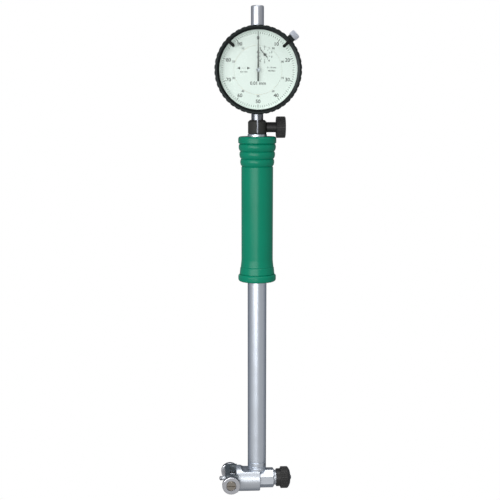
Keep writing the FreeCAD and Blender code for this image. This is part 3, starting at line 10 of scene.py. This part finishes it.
import bpy
from mathutils import Euler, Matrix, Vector


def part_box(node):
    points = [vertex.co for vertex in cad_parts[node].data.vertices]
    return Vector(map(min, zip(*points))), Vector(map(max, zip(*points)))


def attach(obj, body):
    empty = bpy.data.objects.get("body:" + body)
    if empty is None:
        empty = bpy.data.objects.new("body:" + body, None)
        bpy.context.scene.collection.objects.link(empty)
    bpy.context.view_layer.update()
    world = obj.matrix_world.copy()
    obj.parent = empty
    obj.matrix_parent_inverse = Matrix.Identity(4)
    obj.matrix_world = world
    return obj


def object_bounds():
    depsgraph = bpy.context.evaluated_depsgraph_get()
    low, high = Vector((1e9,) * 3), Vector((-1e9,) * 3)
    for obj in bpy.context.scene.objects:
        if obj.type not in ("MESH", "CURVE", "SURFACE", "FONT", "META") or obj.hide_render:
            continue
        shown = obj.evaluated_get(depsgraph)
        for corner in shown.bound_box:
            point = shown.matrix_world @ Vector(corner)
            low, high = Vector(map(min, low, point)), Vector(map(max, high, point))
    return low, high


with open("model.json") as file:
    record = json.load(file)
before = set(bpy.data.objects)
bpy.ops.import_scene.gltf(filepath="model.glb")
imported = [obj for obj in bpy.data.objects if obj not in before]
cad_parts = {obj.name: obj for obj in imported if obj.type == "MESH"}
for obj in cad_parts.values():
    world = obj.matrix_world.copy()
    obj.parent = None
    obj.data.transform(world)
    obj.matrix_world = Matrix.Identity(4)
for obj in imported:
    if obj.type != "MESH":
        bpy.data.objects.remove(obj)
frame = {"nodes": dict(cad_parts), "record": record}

LOG = logging.getLogger("bore_gauge")
MM = 0.001
FULL_TURN = 2 * math.pi
WAVE_PERIOD = FULL_TURN / 20  # a wave texture repeats once in this share of its scale
CAD_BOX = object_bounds()


class Axis(Enum):
    """Direction in which the marks of a tool follow one another."""

    X = 0
    Y = 1
    Z = 2


class Marks(Enum):
    """How a tool left its marks on a surface."""

    TURNED = "BANDS"
    FACED = "RINGS"


# ---------------------------------------------------------------- helpers


def linear(code: str) -> tuple[float, float, float, float]:
    """Turn an sRGB hex colour into the linear colour that a shader takes.

    Args:
        code: six hex digits.

    Returns:
        Red, green, blue and an alpha of one.
    """
    shares = [int(code[i : i + 2], 16) / 255 for i in (0, 2, 4)]
    red, green, blue = (s / 12.92 if s <= 0.04045 else ((s + 0.055) / 1.055) ** 2.4 for s in shares)
    return red, green, blue, 1.0


def add_node(
    tree: bpy.types.NodeTree,
    kind: str,
    settings: Mapping[str, Any] | None = None,
    inputs: Mapping[int | str, Any] | None = None,
) -> bpy.types.Node:
    """Add one shader node with its settings, values and links.

    Args:
        tree: the node tree that takes it.
        kind: the node's type, without the word ShaderNode.
        settings: the node's own properties.
        inputs: a value, or a socket to link from, for each named input.

    Returns:
        The new node.
    """
    node = tree.nodes.new(f"ShaderNode{kind}")
    for name, setting in (settings or {}).items():
        setattr(node, name, setting)
    for name, given in (inputs or {}).items():
        if isinstance(given, bpy.types.NodeSocket):
            tree.links.new(given, node.inputs[name])
        else:
            node.inputs[name].default_value = given
    return node


def middle(node: str) -> Vector:
    """Centre of a CAD node's box, in metres."""
    low, high = (Vector(corner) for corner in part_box(node))
    return (low + high) / 2


def pivot(joint: str) -> Vector:
    """Place of a hinge, in metres."""
    for entry in frame["record"]["behaviour"]["joints"]:
        if entry["name"] == joint:
            return Vector(entry["pos_m"])
    raise KeyError(joint)


def deselect() -> None:
    """Leave edit mode and deselect every object."""
    if bpy.context.mode != "OBJECT":
        bpy.ops.object.mode_set(mode="OBJECT")
    bpy.ops.object.select_all(action="DESELECT")


def joined(name: str, parts: Sequence[bpy.types.Object]) -> bpy.types.Object:
    """Join meshes into one piece whose object sits at the origin.

    Args:
        name: the piece's name.
        parts: the meshes, each in its place.

    Returns:
        The piece.
    """
    deselect()
    for part in parts:
        part.select_set(True)
    bpy.context.view_layer.objects.active = parts[0]
    bpy.ops.object.transform_apply(location=True, rotation=True, scale=True)
    if len(parts) > 1:
        bpy.ops.object.join()
    piece = bpy.context.view_layer.objects.active
    piece.name = piece.data.name = name
    LOG.info("%s: %d faces", name, len(piece.data.polygons))
    return piece


def finish_piece(piece: bpy.types.Object, body: str, finish: "Finish") -> None:
    """Dress a new piece and let it ride.

    Args:
        piece: the finished mesh.
        body: the CAD body that carries it.
        finish: what its surface is.
    """
    piece.data.materials.clear()
    piece.data.materials.append(finish.material())
    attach(piece, body)


# ---------------------------------------------------------------- finishes


@dataclass(frozen=True)
class Finish:
    """What every finish shares: its name, and a material that is made once."""

    name: str

    def material(self) -> bpy.types.Material:
        """Return this finish's material, made at the first call."""
        made = bpy.data.materials.get(self.name)
        if made is None:
            made = bpy.data.materials.new(self.name)
            made.use_nodes = True
            made.node_tree.nodes.clear()
            surface = self.shade(made.node_tree)
            add_node(made.node_tree, "OutputMaterial", inputs={"Surface": surface})
        return made

    def shade(self, tree: bpy.types.NodeTree) -> bpy.types.NodeSocket:
        """Build the shader and return the socket that feeds the surface."""
        raise NotImplementedError


def place_pattern(tree: bpy.types.NodeTree, centre: Vector, scale: Vector) -> bpy.types.NodeSocket:
    """Centre and stretch the object's own coordinates.

    Args:
        tree: the material's node tree.
        centre: where the pattern's middle lies, in metres.
        scale: repeats in a metre along each axis.

    Returns:
        The socket with the coordinates.
    """
    coordinates = add_node(tree, "TexCoord").outputs["Object"]
    centred = add_node(tree, "Mapping", inputs={"Vector": coordinates, "Location": -centre})
    return add_node(tree, "Mapping", inputs={"Vector": centred.outputs[0], "Scale": scale}).outputs[0]


def between(
    tree: bpy.types.NodeTree, share: bpy.types.NodeSocket, low: float, high: float
) -> bpy.types.NodeSocket:
    """Spread a share from 0 to 1 over a range of values.

    Args:
        tree: the material's node tree.
        share: the socket that gives the share.
        low: the value at 0.
        high: the value at 1.

    Returns:
        The socket with the value.
    """
    spread = add_node(tree, "MapRange", inputs={"Value": share, "To Min": low, "To Max": high})
    return spread.outputs["Result"]


def blended(
    tree: bpy.types.NodeTree, share: bpy.types.NodeSocket, first: str, second: str
) -> bpy.types.NodeSocket:
    """Blend two hex colours by a share.

    Args:
        tree: the material's node tree.
        share: the socket that gives the share of the second colour.
        first: the colour at 0.
        second: the colour at 1.

    Returns:
        The socket with the colour.
    """
    mix = add_node(
        tree,
        "Mix",
        {"data_type": "RGBA"},
        {"Factor": share, 6: linear(first), 7: linear(second)},
    )
    return mix.outputs[2]


@dataclass(frozen=True)
class MachinedMetal(Finish):
    """Bare metal that a lathe or a grinding wheel has finished: fine marks that stretch the highlights."""

    bright: str
    dull: str
    # grazing tint of the reflection; a near-black value paints shade along the rims
    rim: str
    roughness: float
    marks: Marks = Marks.TURNED
    axis: Axis = Axis.Y
    spacing: float = 0.35  # mm between marks, drawn coarser than the real ones so that they show
    depth: float = 0.0015  # mm
    patch: float = 9.0  # mm across a patch of duller metal
    centre: tuple[float, float, float] = (0.0, 0.0, 0.0)

    def shade(self, tree: bpy.types.NodeTree) -> bpy.types.NodeSocket:
        """Metal with tool marks, patches of slightly duller metal, and a grazing tint that paints shade along
        the rims where it is near black.
        """
        each_metre = 1 / (self.spacing * MM)
        place = place_pattern(tree, Vector(self.centre), Vector((1, 1, 1)))
        wave = {"wave_type": self.marks.value}
        wave["bands_direction" if self.marks is Marks.TURNED else "rings_direction"] = self.axis.name
        marks = add_node(
            tree,
            "TexWave",
            wave,
            {
                "Vector": place,
                "Scale": each_metre * WAVE_PERIOD,
                "Distortion": 2.5,
                "Detail": 3.0,
                "Detail Scale": 1.7,
            },
        )
        patches = add_node(
            tree, "TexNoise", inputs={"Vector": place, "Scale": 1 / (self.patch * MM), "Detail": 3.0}
        )
        grime = between(tree, patches.outputs["Fac"], 0.0, 0.55)
        colour = blended(tree, grime, self.bright, self.dull)
        rough = between(tree, patches.outputs["Fac"], self.roughness * 0.8, self.roughness * 1.25)
        relief = add_node(
            tree,
            "Bump",
            inputs={"Height": marks.outputs["Fac"], "Distance": self.depth * MM, "Strength": 1.0},
        )
        shader = add_node(
            tree,
            "BsdfPrincipled",
            inputs={
                "Base Color": colour,
                "Metallic": 1.0,
                "Roughness": rough,
                # a near-black rim tint darkens the grazing edges: painted shade
                "Specular Tint": linear(self.rim),
                "Normal": relief.outputs[0],
            },
        )
        return shader.outputs[0]


@dataclass(frozen=True)
class CoatedMetal(Finish):
    """Metal under a thin dark skin, such as black oxide: satin, with a faint mottle and worn specks."""

    skin: str
    worn: str
    roughness: float
    grain: float = 0.25  # mm
    speck: float = 2.5  # mm across a worn speck
    relief: float = 0.004  # mm
    wear: float = 0.72  # share of the noise above which the skin is worn through
    gloss: float = 0.12

    def shade(self, tree: bpy.types.NodeTree) -> bpy.types.NodeSocket:
        """Dark skin, mottled, with small worn specks."""
        place = place_pattern(tree, Vector(), Vector((1, 1, 1)))
        grain = add_node(
            tree, "TexNoise", inputs={"Vector": place, "Scale": 1 / (self.grain * MM), "Detail": 2.0}
        )
        patches = add_node(
            tree, "TexNoise", inputs={"Vector": place, "Scale": 1 / (self.speck * MM), "Detail": 5.0}
        )
        specks = add_node(
            tree,
            "MapRange",
            {"interpolation_type": "SMOOTHSTEP"},
            {"Value": patches.outputs["Fac"], "From Min": self.wear, "From Max": self.wear + 0.08},
        )
        colour = blended(tree, specks.outputs["Result"], self.skin, self.worn)
        rough = between(tree, grain.outputs["Fac"], self.roughness * 0.8, self.roughness * 1.2)
        relief = add_node(
            tree,
            "Bump",
            inputs={"Height": grain.outputs["Fac"], "Distance": self.relief * MM, "Strength": 0.6},
        )
        shader = add_node(
            tree,
            "BsdfPrincipled",
            inputs={
                "Base Color": colour,
                "Roughness": rough,
                "IOR": 1.5,
                "Specular IOR Level": self.gloss,
                "Normal": relief.outputs[0],
            },
        )
        return shader.outputs[0]


@dataclass(frozen=True)
class MouldedPlastic(Finish):
    """Injection-moulded plastic: satin, barely rippled, with slow changes of tone."""

    colour: str
    shade_colour: str
    roughness: float
    gloss: float = 0.22
    ripple: float = 1.8  # mm
    relief: float = 0.006  # mm
    flow: float = 22.0  # mm across a change of tone

    def shade(self, tree: bpy.types.NodeTree) -> bpy.types.NodeSocket:
        """Satin plastic with a soft ripple."""
        place = place_pattern(tree, Vector(), Vector((1, 1, 1)))
        ripple = add_node(
            tree, "TexNoise", inputs={"Vector": place, "Scale": 1 / (self.ripple * MM), "Detail": 2.0}
        )
        flow = add_node(
            tree, "TexNoise", inputs={"Vector": place, "Scale": 1 / (self.flow * MM), "Detail": 2.0}
        )
        colour = blended(tree, flow.outputs["Fac"], self.colour, self.shade_colour)
        rough = between(tree, ripple.outputs["Fac"], self.roughness * 0.85, self.roughness * 1.15)
        relief = add_node(
            tree,
            "Bump",
            inputs={"Height": ripple.outputs["Fac"], "Distance": self.relief * MM, "Strength": 0.5},
        )
        shader = add_node(
            tree,
            "BsdfPrincipled",
            inputs={
                "Base Color": colour,
                "Roughness": rough,
                "IOR": 1.53,
                "Specular IOR Level": self.gloss,
                "Normal": relief.outputs[0],
            },
        )
        return shader.outputs[0]


@dataclass(frozen=True)
class PrintedFace(Finish):
    """Lacquered dial face: matt, pale, with a very fine grain."""

    colour: str
    shade_colour: str
    grain: float = 0.3  # mm
    cloud: float = 14.0  # mm across a change of tone

    def shade(self, tree: bpy.types.NodeTree) -> bpy.types.NodeSocket:
        """Pale lacquer with a fine grain."""
        place = place_pattern(tree, Vector(), Vector((1, 1, 1)))
        grain = add_node(
            tree, "TexNoise", inputs={"Vector": place, "Scale": 1 / (self.grain * MM), "Detail": 2.0}
        )
        cloud = add_node(
            tree, "TexNoise", inputs={"Vector": place, "Scale": 1 / (self.cloud * MM), "Detail": 1.0}
        )
        colour = blended(tree, cloud.outputs["Fac"], self.colour, self.shade_colour)
        rough = between(tree, grain.outputs["Fac"], 0.45, 0.6)
        shader = add_node(
            tree, "BsdfPrincipled", inputs={"Base Color": colour, "Roughness": rough, "IOR": 1.48}
        )
        return shader.outputs[0]


@dataclass(frozen=True)
class ClearAcrylic(Finish):
    """Clear acrylic crystal: almost unseen, with a weak gloss and a trace of green at its edge."""

    tint: str
    cover: float
    haze: float = 6.0  # mm across a change of gloss

    def shade(self, tree: bpy.types.NodeTree) -> bpy.types.NodeSocket:
        """Thin clear sheet with a weak gloss."""
        place = place_pattern(tree, Vector(), Vector((1, 1, 1)))
        haze = add_node(
            tree, "TexNoise", inputs={"Vector": place, "Scale": 1 / (self.haze * MM), "Detail": 2.0}
        )
        rough = between(tree, haze.outputs["Fac"], 0.03, 0.07)
        shader = add_node(
            tree,
            "BsdfPrincipled",
            inputs={"Base Color": linear(self.tint), "Roughness": rough, "IOR": 1.49, "Alpha": self.cover},
        )
        return shader.outputs[0]


@dataclass(frozen=True)
class StudioGround(Finish):
    """Plain ground: white to the camera, grey to the metal that it mirrors in."""

    colour: str
    glow: float

    def shade(self, tree: bpy.types.NodeTree) -> bpy.types.NodeSocket:
        """Matt grey ground, lifted towards white for the camera and through the crystal."""
        path = add_node(tree, "LightPath").outputs
        seen = add_node(
            tree, "Math", {"operation": "MAXIMUM"}, {0: path["Is Camera Ray"], 1: path["Is Transmission Ray"]}
        ).outputs[0]
        share = add_node(tree, "Math", {"operation": "MULTIPLY"}, {0: seen, 1: self.glow}).outputs[0]
        matt = add_node(tree, "BsdfDiffuse", inputs={"Color": linear(self.colour)}).outputs[0]
        white = add_node(tree, "Emission", inputs={"Color": linear("ffffff"), "Strength": 1.0}).outputs[0]
        return add_node(tree, "MixShader", inputs={0: share, 1: matt, 2: white}).outputs[0]


DIAL = middle("crystal")
FRONT_ROLLER = middle("roller_front")

# ground steel: cool grey, long soft highlights, with painted shade at its rims from a near-black grazing tint
GROUND_STEEL = MachinedMetal("ground_steel", "e6ebf2", "c4ccd7", "14181c", 0.42, axis=Axis.X, spacing=0.3)
# satin chrome plate over a ground tube: the brightest metal, with painted shade along its edges from a
# near-black grazing tint
CHROME_TUBE = MachinedMetal(
    "chrome_plated_tube", "e4ebf5", "d3dce8", "050607", 0.36, spacing=0.5, depth=0.0006
)
# turned stainless steel: rings left by the lathe, with painted shade at its rims from a near-black grazing
# tint
TURNED_STEEL = MachinedMetal("turned_stainless_steel", "d6dae2", "b2b8c3", "14171a", 0.4, spacing=0.3)
# faced steel: the same rings seen from the end, with painted shade at its rims from a near-black grazing tint
FACED_STEEL = MachinedMetal(
    "faced_roller_steel",
    "e6e7ec",
    "c4c7cf",
    "14171a",
    0.26,
    Marks.FACED,
    Axis.Z,
    spacing=0.9,
    depth=0.008,
    centre=tuple(FRONT_ROLLER),
)
# hardened screws: straw-brown from tempering, with painted shade at their rims from a near-black grazing tint
SCREW_STEEL = MachinedMetal(
    "tempered_screw_steel",
    "b5aea4",
    "7f786e",
    "14171a",
    0.3,
    Marks.FACED,
    Axis.Z,
    spacing=0.9,
    centre=tuple(FRONT_ROLLER),
)
# the stem: a darker copy of the bright steel, its darkness painted shade, with more painted shade at its
# edges from a near-black grazing tint
STEM_STEEL_PAINTED_SHADE = MachinedMetal("stem_steel_painted_shade", "8d9197", "64686e", "050607", 0.26, spacing=0.4)
# blued steel ground flat: darker than the bare steel, with painted shade at its rims from a near-black
# grazing tint
GREY_STEEL = MachinedMetal("blued_grey_steel", "a9b2b7", "899398", "1a1d20", 0.4, axis=Axis.X, spacing=0.5)
# lapped hard metal: grey and smooth
HARD_METAL = MachinedMetal("lapped_hard_metal", "a2a6ac", "83878d", "55595e", 0.18, axis=Axis.X, spacing=0.2)
# turned brass and bronze of the inner pieces
BRASS = MachinedMetal("turned_brass", "d9b56c", "b98f4b", "8a6a34", 0.25, axis=Axis.Z, spacing=0.3)
# cold-drawn spring wire
SPRING_WIRE = MachinedMetal("spring_wire", "8f949b", "6f747b", "4a4e54", 0.3, spacing=0.2)
# lacquered aluminium of the case: pale and satin
CASE_ALLOY = MachinedMetal(
    "lacquered_case_alloy", "c9ccd1", "b2b6bc", "7f8389", 0.34, axis=Axis.Z, spacing=0.4
)
# black oxide on steel: a dark skin, slightly warm, worn on its high spots
BLACK_OXIDE = CoatedMetal("black_oxide", "060606", "202120", 0.36)
# the split collar's oxide is thinner and greyer
COLLAR_OXIDE = CoatedMetal("collar_oxide", "3a3b39", "565755", 0.5)
# black anodised bezel: deep black with a green cast
BLACK_ANODISED = CoatedMetal("black_anodised", "040706", "0e1412", 0.34, wear=0.8)
# black lacquer of the pointers and markers
POINTER_LACQUER = CoatedMetal("pointer_lacquer", "101312", "1c1f1e", 0.42, wear=0.9)
# printing ink on the dial: flat and dark
DIAL_INK = CoatedMetal("dial_ink", "1b211f", "262c2a", 0.55, wear=0.9)
# green handle: satin moulded plastic
GREEN_GRIP = MouldedPlastic("green_moulded_grip", "00886a", "007d60", 0.3)
# pale lacquer of the dial, with a cast of green
DIAL_FACE = PrintedFace("dial_lacquer", "edf9f3", "e6f4ed")
# clear crystal, almost unseen
CRYSTAL = ClearAcrylic("clear_acrylic", "e6f2ec", 0.07)
# studio ground
GROUND = StudioGround("studio_ground", "8f9399", 1.0)


# ---------------------------------------------------------------- dial


@dataclass
class DialPrint:
    """Scale, numbers and signs printed on the two discs of the dial."""

    tick_outer: float = 24.2 * MM
    tick_counts: tuple[int, int, int] = (100, 20, 10)
    tick_lengths: tuple[float, float, float] = (1.2 * MM, 1.5 * MM, 1.9 * MM)
    tick_widths: tuple[float, float, float] = (0.28 * MM, 0.34 * MM, 0.46 * MM)
    number_ring: float = 20.4 * MM
    number_height: float = 2.3 * MM
    edge_ring: float = 24.7 * MM
    edge_width: float = 0.16 * MM
    edge_strokes: int = 120
    count_back_ring: float = 17.0 * MM
    count_back_height: float = 1.3 * MM
    counter_ring: float = 4.9 * MM
    counter_height: float = 1.3 * MM
    counter_tick_outer: float = 3.9 * MM
    counter_tick_length: float = 0.8 * MM
    counter_tick_width: float = 0.3 * MM
    # each arrow's place across and along from the middle of the dial, its length and its width
    arrows: tuple[tuple[float, float, float, float], ...] = (
        (-11.8 * MM, 1.2 * MM, -2.2 * MM, 1.7 * MM),
        (-7.2 * MM, 1.2 * MM, 2.2 * MM, 1.7 * MM),
    )
    # each sign's words, its place across and along from the middle of the dial, and its height
    signs: tuple[tuple[str, float, float, float], ...] = (
        ("1 - 1", -9.5 * MM, 1.2 * MM, 0.9 * MM),
        ("0.01 mm", -9.5 * MM, -1.2 * MM, 1.0 * MM),
        ("0 - 10 mm", 9.0 * MM, 1.5 * MM, 1.0 * MM),
        ("METRIC", 9.0 * MM, -0.6 * MM, 1.0 * MM),
        ("0.01 mm", 0.0, -8.6 * MM, 2.1 * MM),
    )
    capital: float = 0.7  # height of a capital as a share of the type size
    boldness: float = 0.03
    lift: float = 0.02 * MM
    centre: Vector = field(default_factory=lambda: DIAL.copy())
    counter: Vector = field(default_factory=lambda: pivot("upper_wheel_turn"))

    def face(self) -> float:
        """Height of the printed face."""
        return Vector(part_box("centre_dial")[1]).z + self.lift

    def text(self, words: str, across: float, along: float, height: float) -> bpy.types.Object:
        """Print a short text.

        Args:
            words: what it says.
            across: place of its middle along X.
            along: place of its middle along Y.
            height: height of its capitals.

        Returns:
            The flat mesh.
        """
        deselect()
        bpy.ops.object.text_add(location=(across, along, self.face()))
        letters = bpy.context.object
        letters.data.body = words
        letters.data.align_x = "CENTER"
        letters.data.align_y = "CENTER"
        letters.data.size = height / self.capital
        letters.data.offset = height * self.boldness
        letters.data.resolution_u = 3
        bpy.ops.object.convert(target="MESH")
        return bpy.context.object

    def ticks(
        self, centre: Vector, count: int, outer: float, length: float, width: float
    ) -> bpy.types.Object:
        """Print a ring of strokes.

        Args:
            centre: middle of the ring.
            count: how many strokes.
            outer: radius of their outer ends.
            length: their length.
            width: their width.

        Returns:
            The flat mesh.
        """
        deselect()
        middle_radius = outer - length / 2
        bpy.ops.mesh.primitive_plane_add(size=1, location=(centre.x, centre.y + middle_radius, self.face()))
        ring = bpy.context.object
        bpy.ops.object.mode_set(mode="EDIT")
        bpy.ops.transform.resize(value=(width, length, 1))
        bpy.ops.mesh.spin(
            steps=count,
            dupli=True,
            angle=FULL_TURN,
            center=(centre.x, centre.y, self.face()),
            axis=(0, 0, 1),
        )
        bpy.ops.mesh.select_all(action="SELECT")
        bpy.ops.mesh.remove_doubles(threshold=1e-6)
        bpy.ops.object.mode_set(mode="OBJECT")
        return ring

    def arrow(self, across: float, along: float, length: float, height: float) -> bpy.types.Object:
        """Print an arrow head.

        Args:
            across: place of its foot along X.
            along: its height on the dial.
            length: its length, negative when it points left.
            height: width of its foot.

        Returns:
            The flat mesh.
        """
        deselect()
        place = (self.centre.x + across, self.centre.y + along, self.face())
        bpy.ops.mesh.primitive_circle_add(vertices=3, radius=1, fill_type="NGON", location=place)
        bpy.ops.object.mode_set(mode="EDIT")
        # the circle's first corner points along +Y and its foot lies half a radius behind its middle
        bpy.ops.transform.translate(value=(0, 0.5, 0))
        turn = -math.copysign(FULL_TURN / 4, length)
        bpy.ops.transform.rotate(value=-turn, orient_axis="Z", center_override=place)
        bpy.ops.transform.resize(value=(abs(length) / 1.5, height / math.sqrt(3), 1), center_override=place)
        bpy.ops.object.mode_set(mode="OBJECT")
        return bpy.context.object

    def scale_print(self) -> bpy.types.Object:
        """Strokes and numbers on the ring that turns with the bezel."""
        parts = []
        for count, length, width in zip(self.tick_counts, self.tick_lengths, self.tick_widths):
            parts.append(self.ticks(self.centre, count, self.tick_outer, length, width))
        # short strokes that meet end to end make the line round the scale
        reach = FULL_TURN * self.edge_ring / self.edge_strokes
        parts.append(self.ticks(self.centre, self.edge_strokes, self.edge_ring, self.edge_width, reach))
        for number in range(10):
            angle = FULL_TURN * number / 10
            across, along = math.sin(angle), math.cos(angle)
            rings = [(f"{number * 10}", self.number_ring, self.number_height)]
            if number:
                rings.append((f"{100 - number * 10}", self.count_back_ring, self.count_back_height))
            for words, ring, height in rings:
                place = self.centre.x + ring * across, self.centre.y + ring * along
                parts.append(self.text(words, *place, height))
        return joined("scale_print", parts)

    def centre_print(self) -> bpy.types.Object:
        """Turns counter, range arrows and unit on the fixed disc."""
        strokes = self.counter_tick_outer, self.counter_tick_length, self.counter_tick_width
        parts = [self.ticks(self.counter, 10, *strokes)]
        for number in range(10):
            angle = FULL_TURN * number / 10
            across = self.counter.x + self.counter_ring * math.sin(angle)
            along = self.counter.y + self.counter_ring * math.cos(angle)
            parts.append(self.text(str(number), across, along, self.counter_height))
        parts += [self.arrow(*arrow) for arrow in self.arrows]
        for words, across, along, height in self.signs:
            parts.append(self.text(words, self.centre.x + across, self.centre.y + along, height))
        return joined("centre_print", parts)

    def build(self) -> None:
        """Make the prints and dress them."""
        finish_piece(self.scale_print(), "bezel", DIAL_INK)
        finish_piece(self.centre_print(), "frame", DIAL_INK)


@dataclass
class NeckThread:
    """Thread crests on the spigot that shows between the head and the lock nut."""

    crest: float = 0.11 * MM  # radius of a crest's section
    pitch: float = 0.5 * MM
    shown: float = 1.6 * MM  # bare length of the spigot
    depth: float = 2.5 * MM  # from the nut's knurl down to the spigot
    sides: int = 64
    section_sides: int = 8

    def build(self) -> None:
        """Ring the neck with crests and dress them."""
        low, high = (Vector(corner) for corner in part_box("anvil_nut"))
        centre = middle("anvil_nut")
        crests = []
        for step in range(int(self.shown / self.pitch)):
            deselect()
            bpy.ops.mesh.primitive_torus_add(
                location=(low.x - (step + 0.5) * self.pitch, centre.y, centre.z),
                rotation=(0, FULL_TURN / 4, 0),
                major_radius=(high.z - low.z) / 2 - self.depth,
                minor_radius=self.crest,
                major_segments=self.sides,
                minor_segments=self.section_sides,
            )
            crest = bpy.context.object
            bpy.ops.object.transform_apply(location=True, rotation=True)
            bpy.ops.object.shade_smooth()
            crests.append(crest)
        finish_piece(joined("neck_thread", crests), "frame", TURNED_STEEL)


@dataclass
class PointerCap:
    """Turned steel cap pressed on the large pointer's hub."""

    radius: float = 1.35 * MM
    height: float = 0.6 * MM
    sides: int = 40
    rim: float = 0.3 * MM
    recess_slope: float = 0.2 * MM
    recess_depth: float = 0.12 * MM
    rounding: float = 0.15 * MM
    smooth_below: float = 35.0  # degrees

    def build(self) -> None:
        """Shape the cap from a disc, round its top and dress it."""
        base = Vector(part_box("main_pointer")[1]).z
        deselect()
        bpy.ops.mesh.primitive_cylinder_add(
            vertices=self.sides,
            radius=self.radius,
            depth=self.height,
            location=(DIAL.x, DIAL.y, base + self.height / 2),
        )
        cap = bpy.context.object
        bpy.ops.object.transform_apply(location=True)
        bpy.ops.object.mode_set(mode="EDIT")
        bpy.ops.mesh.select_mode(type="FACE")
        bpy.ops.mesh.select_all(action="DESELECT")
        bpy.ops.object.mode_set(mode="OBJECT")
        for face in cap.data.polygons:
            face.select = face.normal.z > 0.9
        bpy.ops.object.mode_set(mode="EDIT")
        bpy.ops.mesh.inset(thickness=self.rim, depth=0.0)
        bpy.ops.mesh.inset(thickness=self.recess_slope, depth=-self.recess_depth)
        bpy.ops.object.mode_set(mode="OBJECT")
        bevel = cap.modifiers.new("rounding", "BEVEL")
        bevel.width = self.rounding
        bevel.segments = 3
        bpy.ops.object.modifier_apply(modifier=bevel.name)
        bpy.ops.object.shade_smooth_by_angle(angle=math.radians(self.smooth_below))
        finish_piece(joined("pointer_cap", [cap]), "pointer", GREY_STEEL)


# ---------------------------------------------------------------- CAD pieces


@dataclass
class Dressing:
    """Finish of every piece that comes from the CAD model."""

    finishes: dict[str, Finish] = field(
        default_factory=lambda: {
            "head_body": GROUND_STEEL,
            "contact_spindle": GROUND_STEEL,
            "push_rod": GROUND_STEEL,
            "centring_bridge": GREY_STEEL,
            "bell_crank": GREY_STEEL,
            "roller_front": FACED_STEEL,
            "roller_rear": FACED_STEEL,
            "roller_screw_front": SCREW_STEEL,
            "roller_screw_rear": SCREW_STEEL,
            "contact_tip": HARD_METAL,
            "anvil": HARD_METAL,
            "contact_point": HARD_METAL,
            "anvil_nut": BLACK_OXIDE,
            "clamp_screw": BLACK_OXIDE,
            "clamp_collar": COLLAR_OXIDE,
            "stem": STEM_STEEL_PAINTED_SHADE,
            "tube": CHROME_TUBE,
            "tube_ferrule": CHROME_TUBE,
            "grip": GREEN_GRIP,
            "bezel": BLACK_ANODISED,
            "bezel_clamp_lug": BLACK_ANODISED,
            "crystal": CRYSTAL,
            "scale_ring": DIAL_FACE,
            "centre_dial": DIAL_FACE,
            "limit_marker_left": POINTER_LACQUER,
            "limit_marker_right": POINTER_LACQUER,
            "main_pointer": POINTER_LACQUER,
            "turns_pointer": POINTER_LACQUER,
            "dial_case": CASE_ALLOY,
            "back_cover": CASE_ALLOY,
            "bridge_springs": SPRING_WIRE,
            "rod_spring": SPRING_WIRE,
            "plunger_spring": SPRING_WIRE,
            "hairspring": SPRING_WIRE,
            "spindle_bush": BRASS,
            "rod_guide": BRASS,
            "movement_plate": BRASS,
            "movement_bridge": BRASS,
            "movement_pillars": BRASS,
            "rack_wheel": BRASS,
            "turns_wheel": BRASS,
            "centre_pinion": BRASS,
        }
    )

    def build(self) -> None:
        """Give every CAD piece its finish; the rest are turned steel."""
        for name, piece in frame["nodes"].items():
            finish = self.finishes.get(name, TURNED_STEEL)
            for place in piece.material_slots:
                place.material = finish.material()
            LOG.info("%s: %s", name, finish.name)


# ---------------------------------------------------------------- studio


@dataclass(frozen=True)
class SoftLamp:
    """Rectangular lamp that faces the gauge."""

    name: str
    place: tuple[float, float, float]  # metres
    size: tuple[float, float]  # width and height in metres
    watts: float

    def hang(self) -> None:
        """Add the lamp at its place and turn it to the middle of the gauge."""
        deselect()
        place = Vector(self.place)
        turn = (-place).to_track_quat("-Z", "Y").to_euler()
        bpy.ops.object.light_add(type="AREA", location=place, rotation=turn)
        light = bpy.context.object
        light.name = self.name
        light.data.shape = "RECTANGLE"
        light.data.size, light.data.size_y = self.size
        light.data.energy = self.watts


@dataclass
class Studio:
    """Ground, soft light and camera."""

    eye: tuple[float, float, float] = (-0.041, 0.10585, 0.7296)
    pitch: float = -10.9
    yaw: float = -2.9
    lens: float = 75.5
    shift: float = 0.107
    sensor: float = 36.0
    near: float = 0.01
    ground_size: float = 60.0
    ground_gap: float = 0.05 * MM
    world_level: float = 0.42
    lamps: tuple[SoftLamp, ...] = (
        SoftLamp("key_lamp", (-0.55, 0.15, 1.1), (0.5, 1.3), 10.0),
        SoftLamp("top_lamp", (0.0, 1.2, 0.35), (1.0, 0.5), 5.0),
    )

    def build(self) -> None:
        """Lay the ground, hang the lamps and set up the camera."""
        deselect()
        floor = CAD_BOX[0][2] - self.ground_gap
        bpy.ops.mesh.primitive_plane_add(size=self.ground_size, location=(0, 0, floor))
        ground = bpy.context.object
        ground.name = "ground"
        ground.data.materials.append(GROUND.material())
        world = bpy.data.worlds.new("soft_room")
        world.use_nodes = True
        shade = world.node_tree.nodes["Background"]
        shade.inputs["Color"].default_value = linear("ffffff")
        shade.inputs["Strength"].default_value = self.world_level
        bpy.context.scene.world = world
        for lamp in self.lamps:
            lamp.hang()
        turn = Euler((math.radians(self.pitch), math.radians(self.yaw), 0))
        deselect()
        bpy.ops.object.camera_add(location=self.eye, rotation=turn)
        camera = bpy.context.object
        camera.data.sensor_width = self.sensor
        camera.data.lens = self.lens
        camera.data.shift_y = self.shift
        camera.data.clip_start = self.near
        bpy.context.scene.camera = camera
        bpy.context.scene.view_settings.view_transform = "Standard"


def main() -> None:
    """Dress the gauge, add its print and trim, and set up the studio."""
    logging.basicConfig(level=logging.INFO)
    Studio().build()
    Dressing().build()
    DialPrint().build()
    NeckThread().build()
    PointerCap().build()


if __name__ == "__main__":
    main()
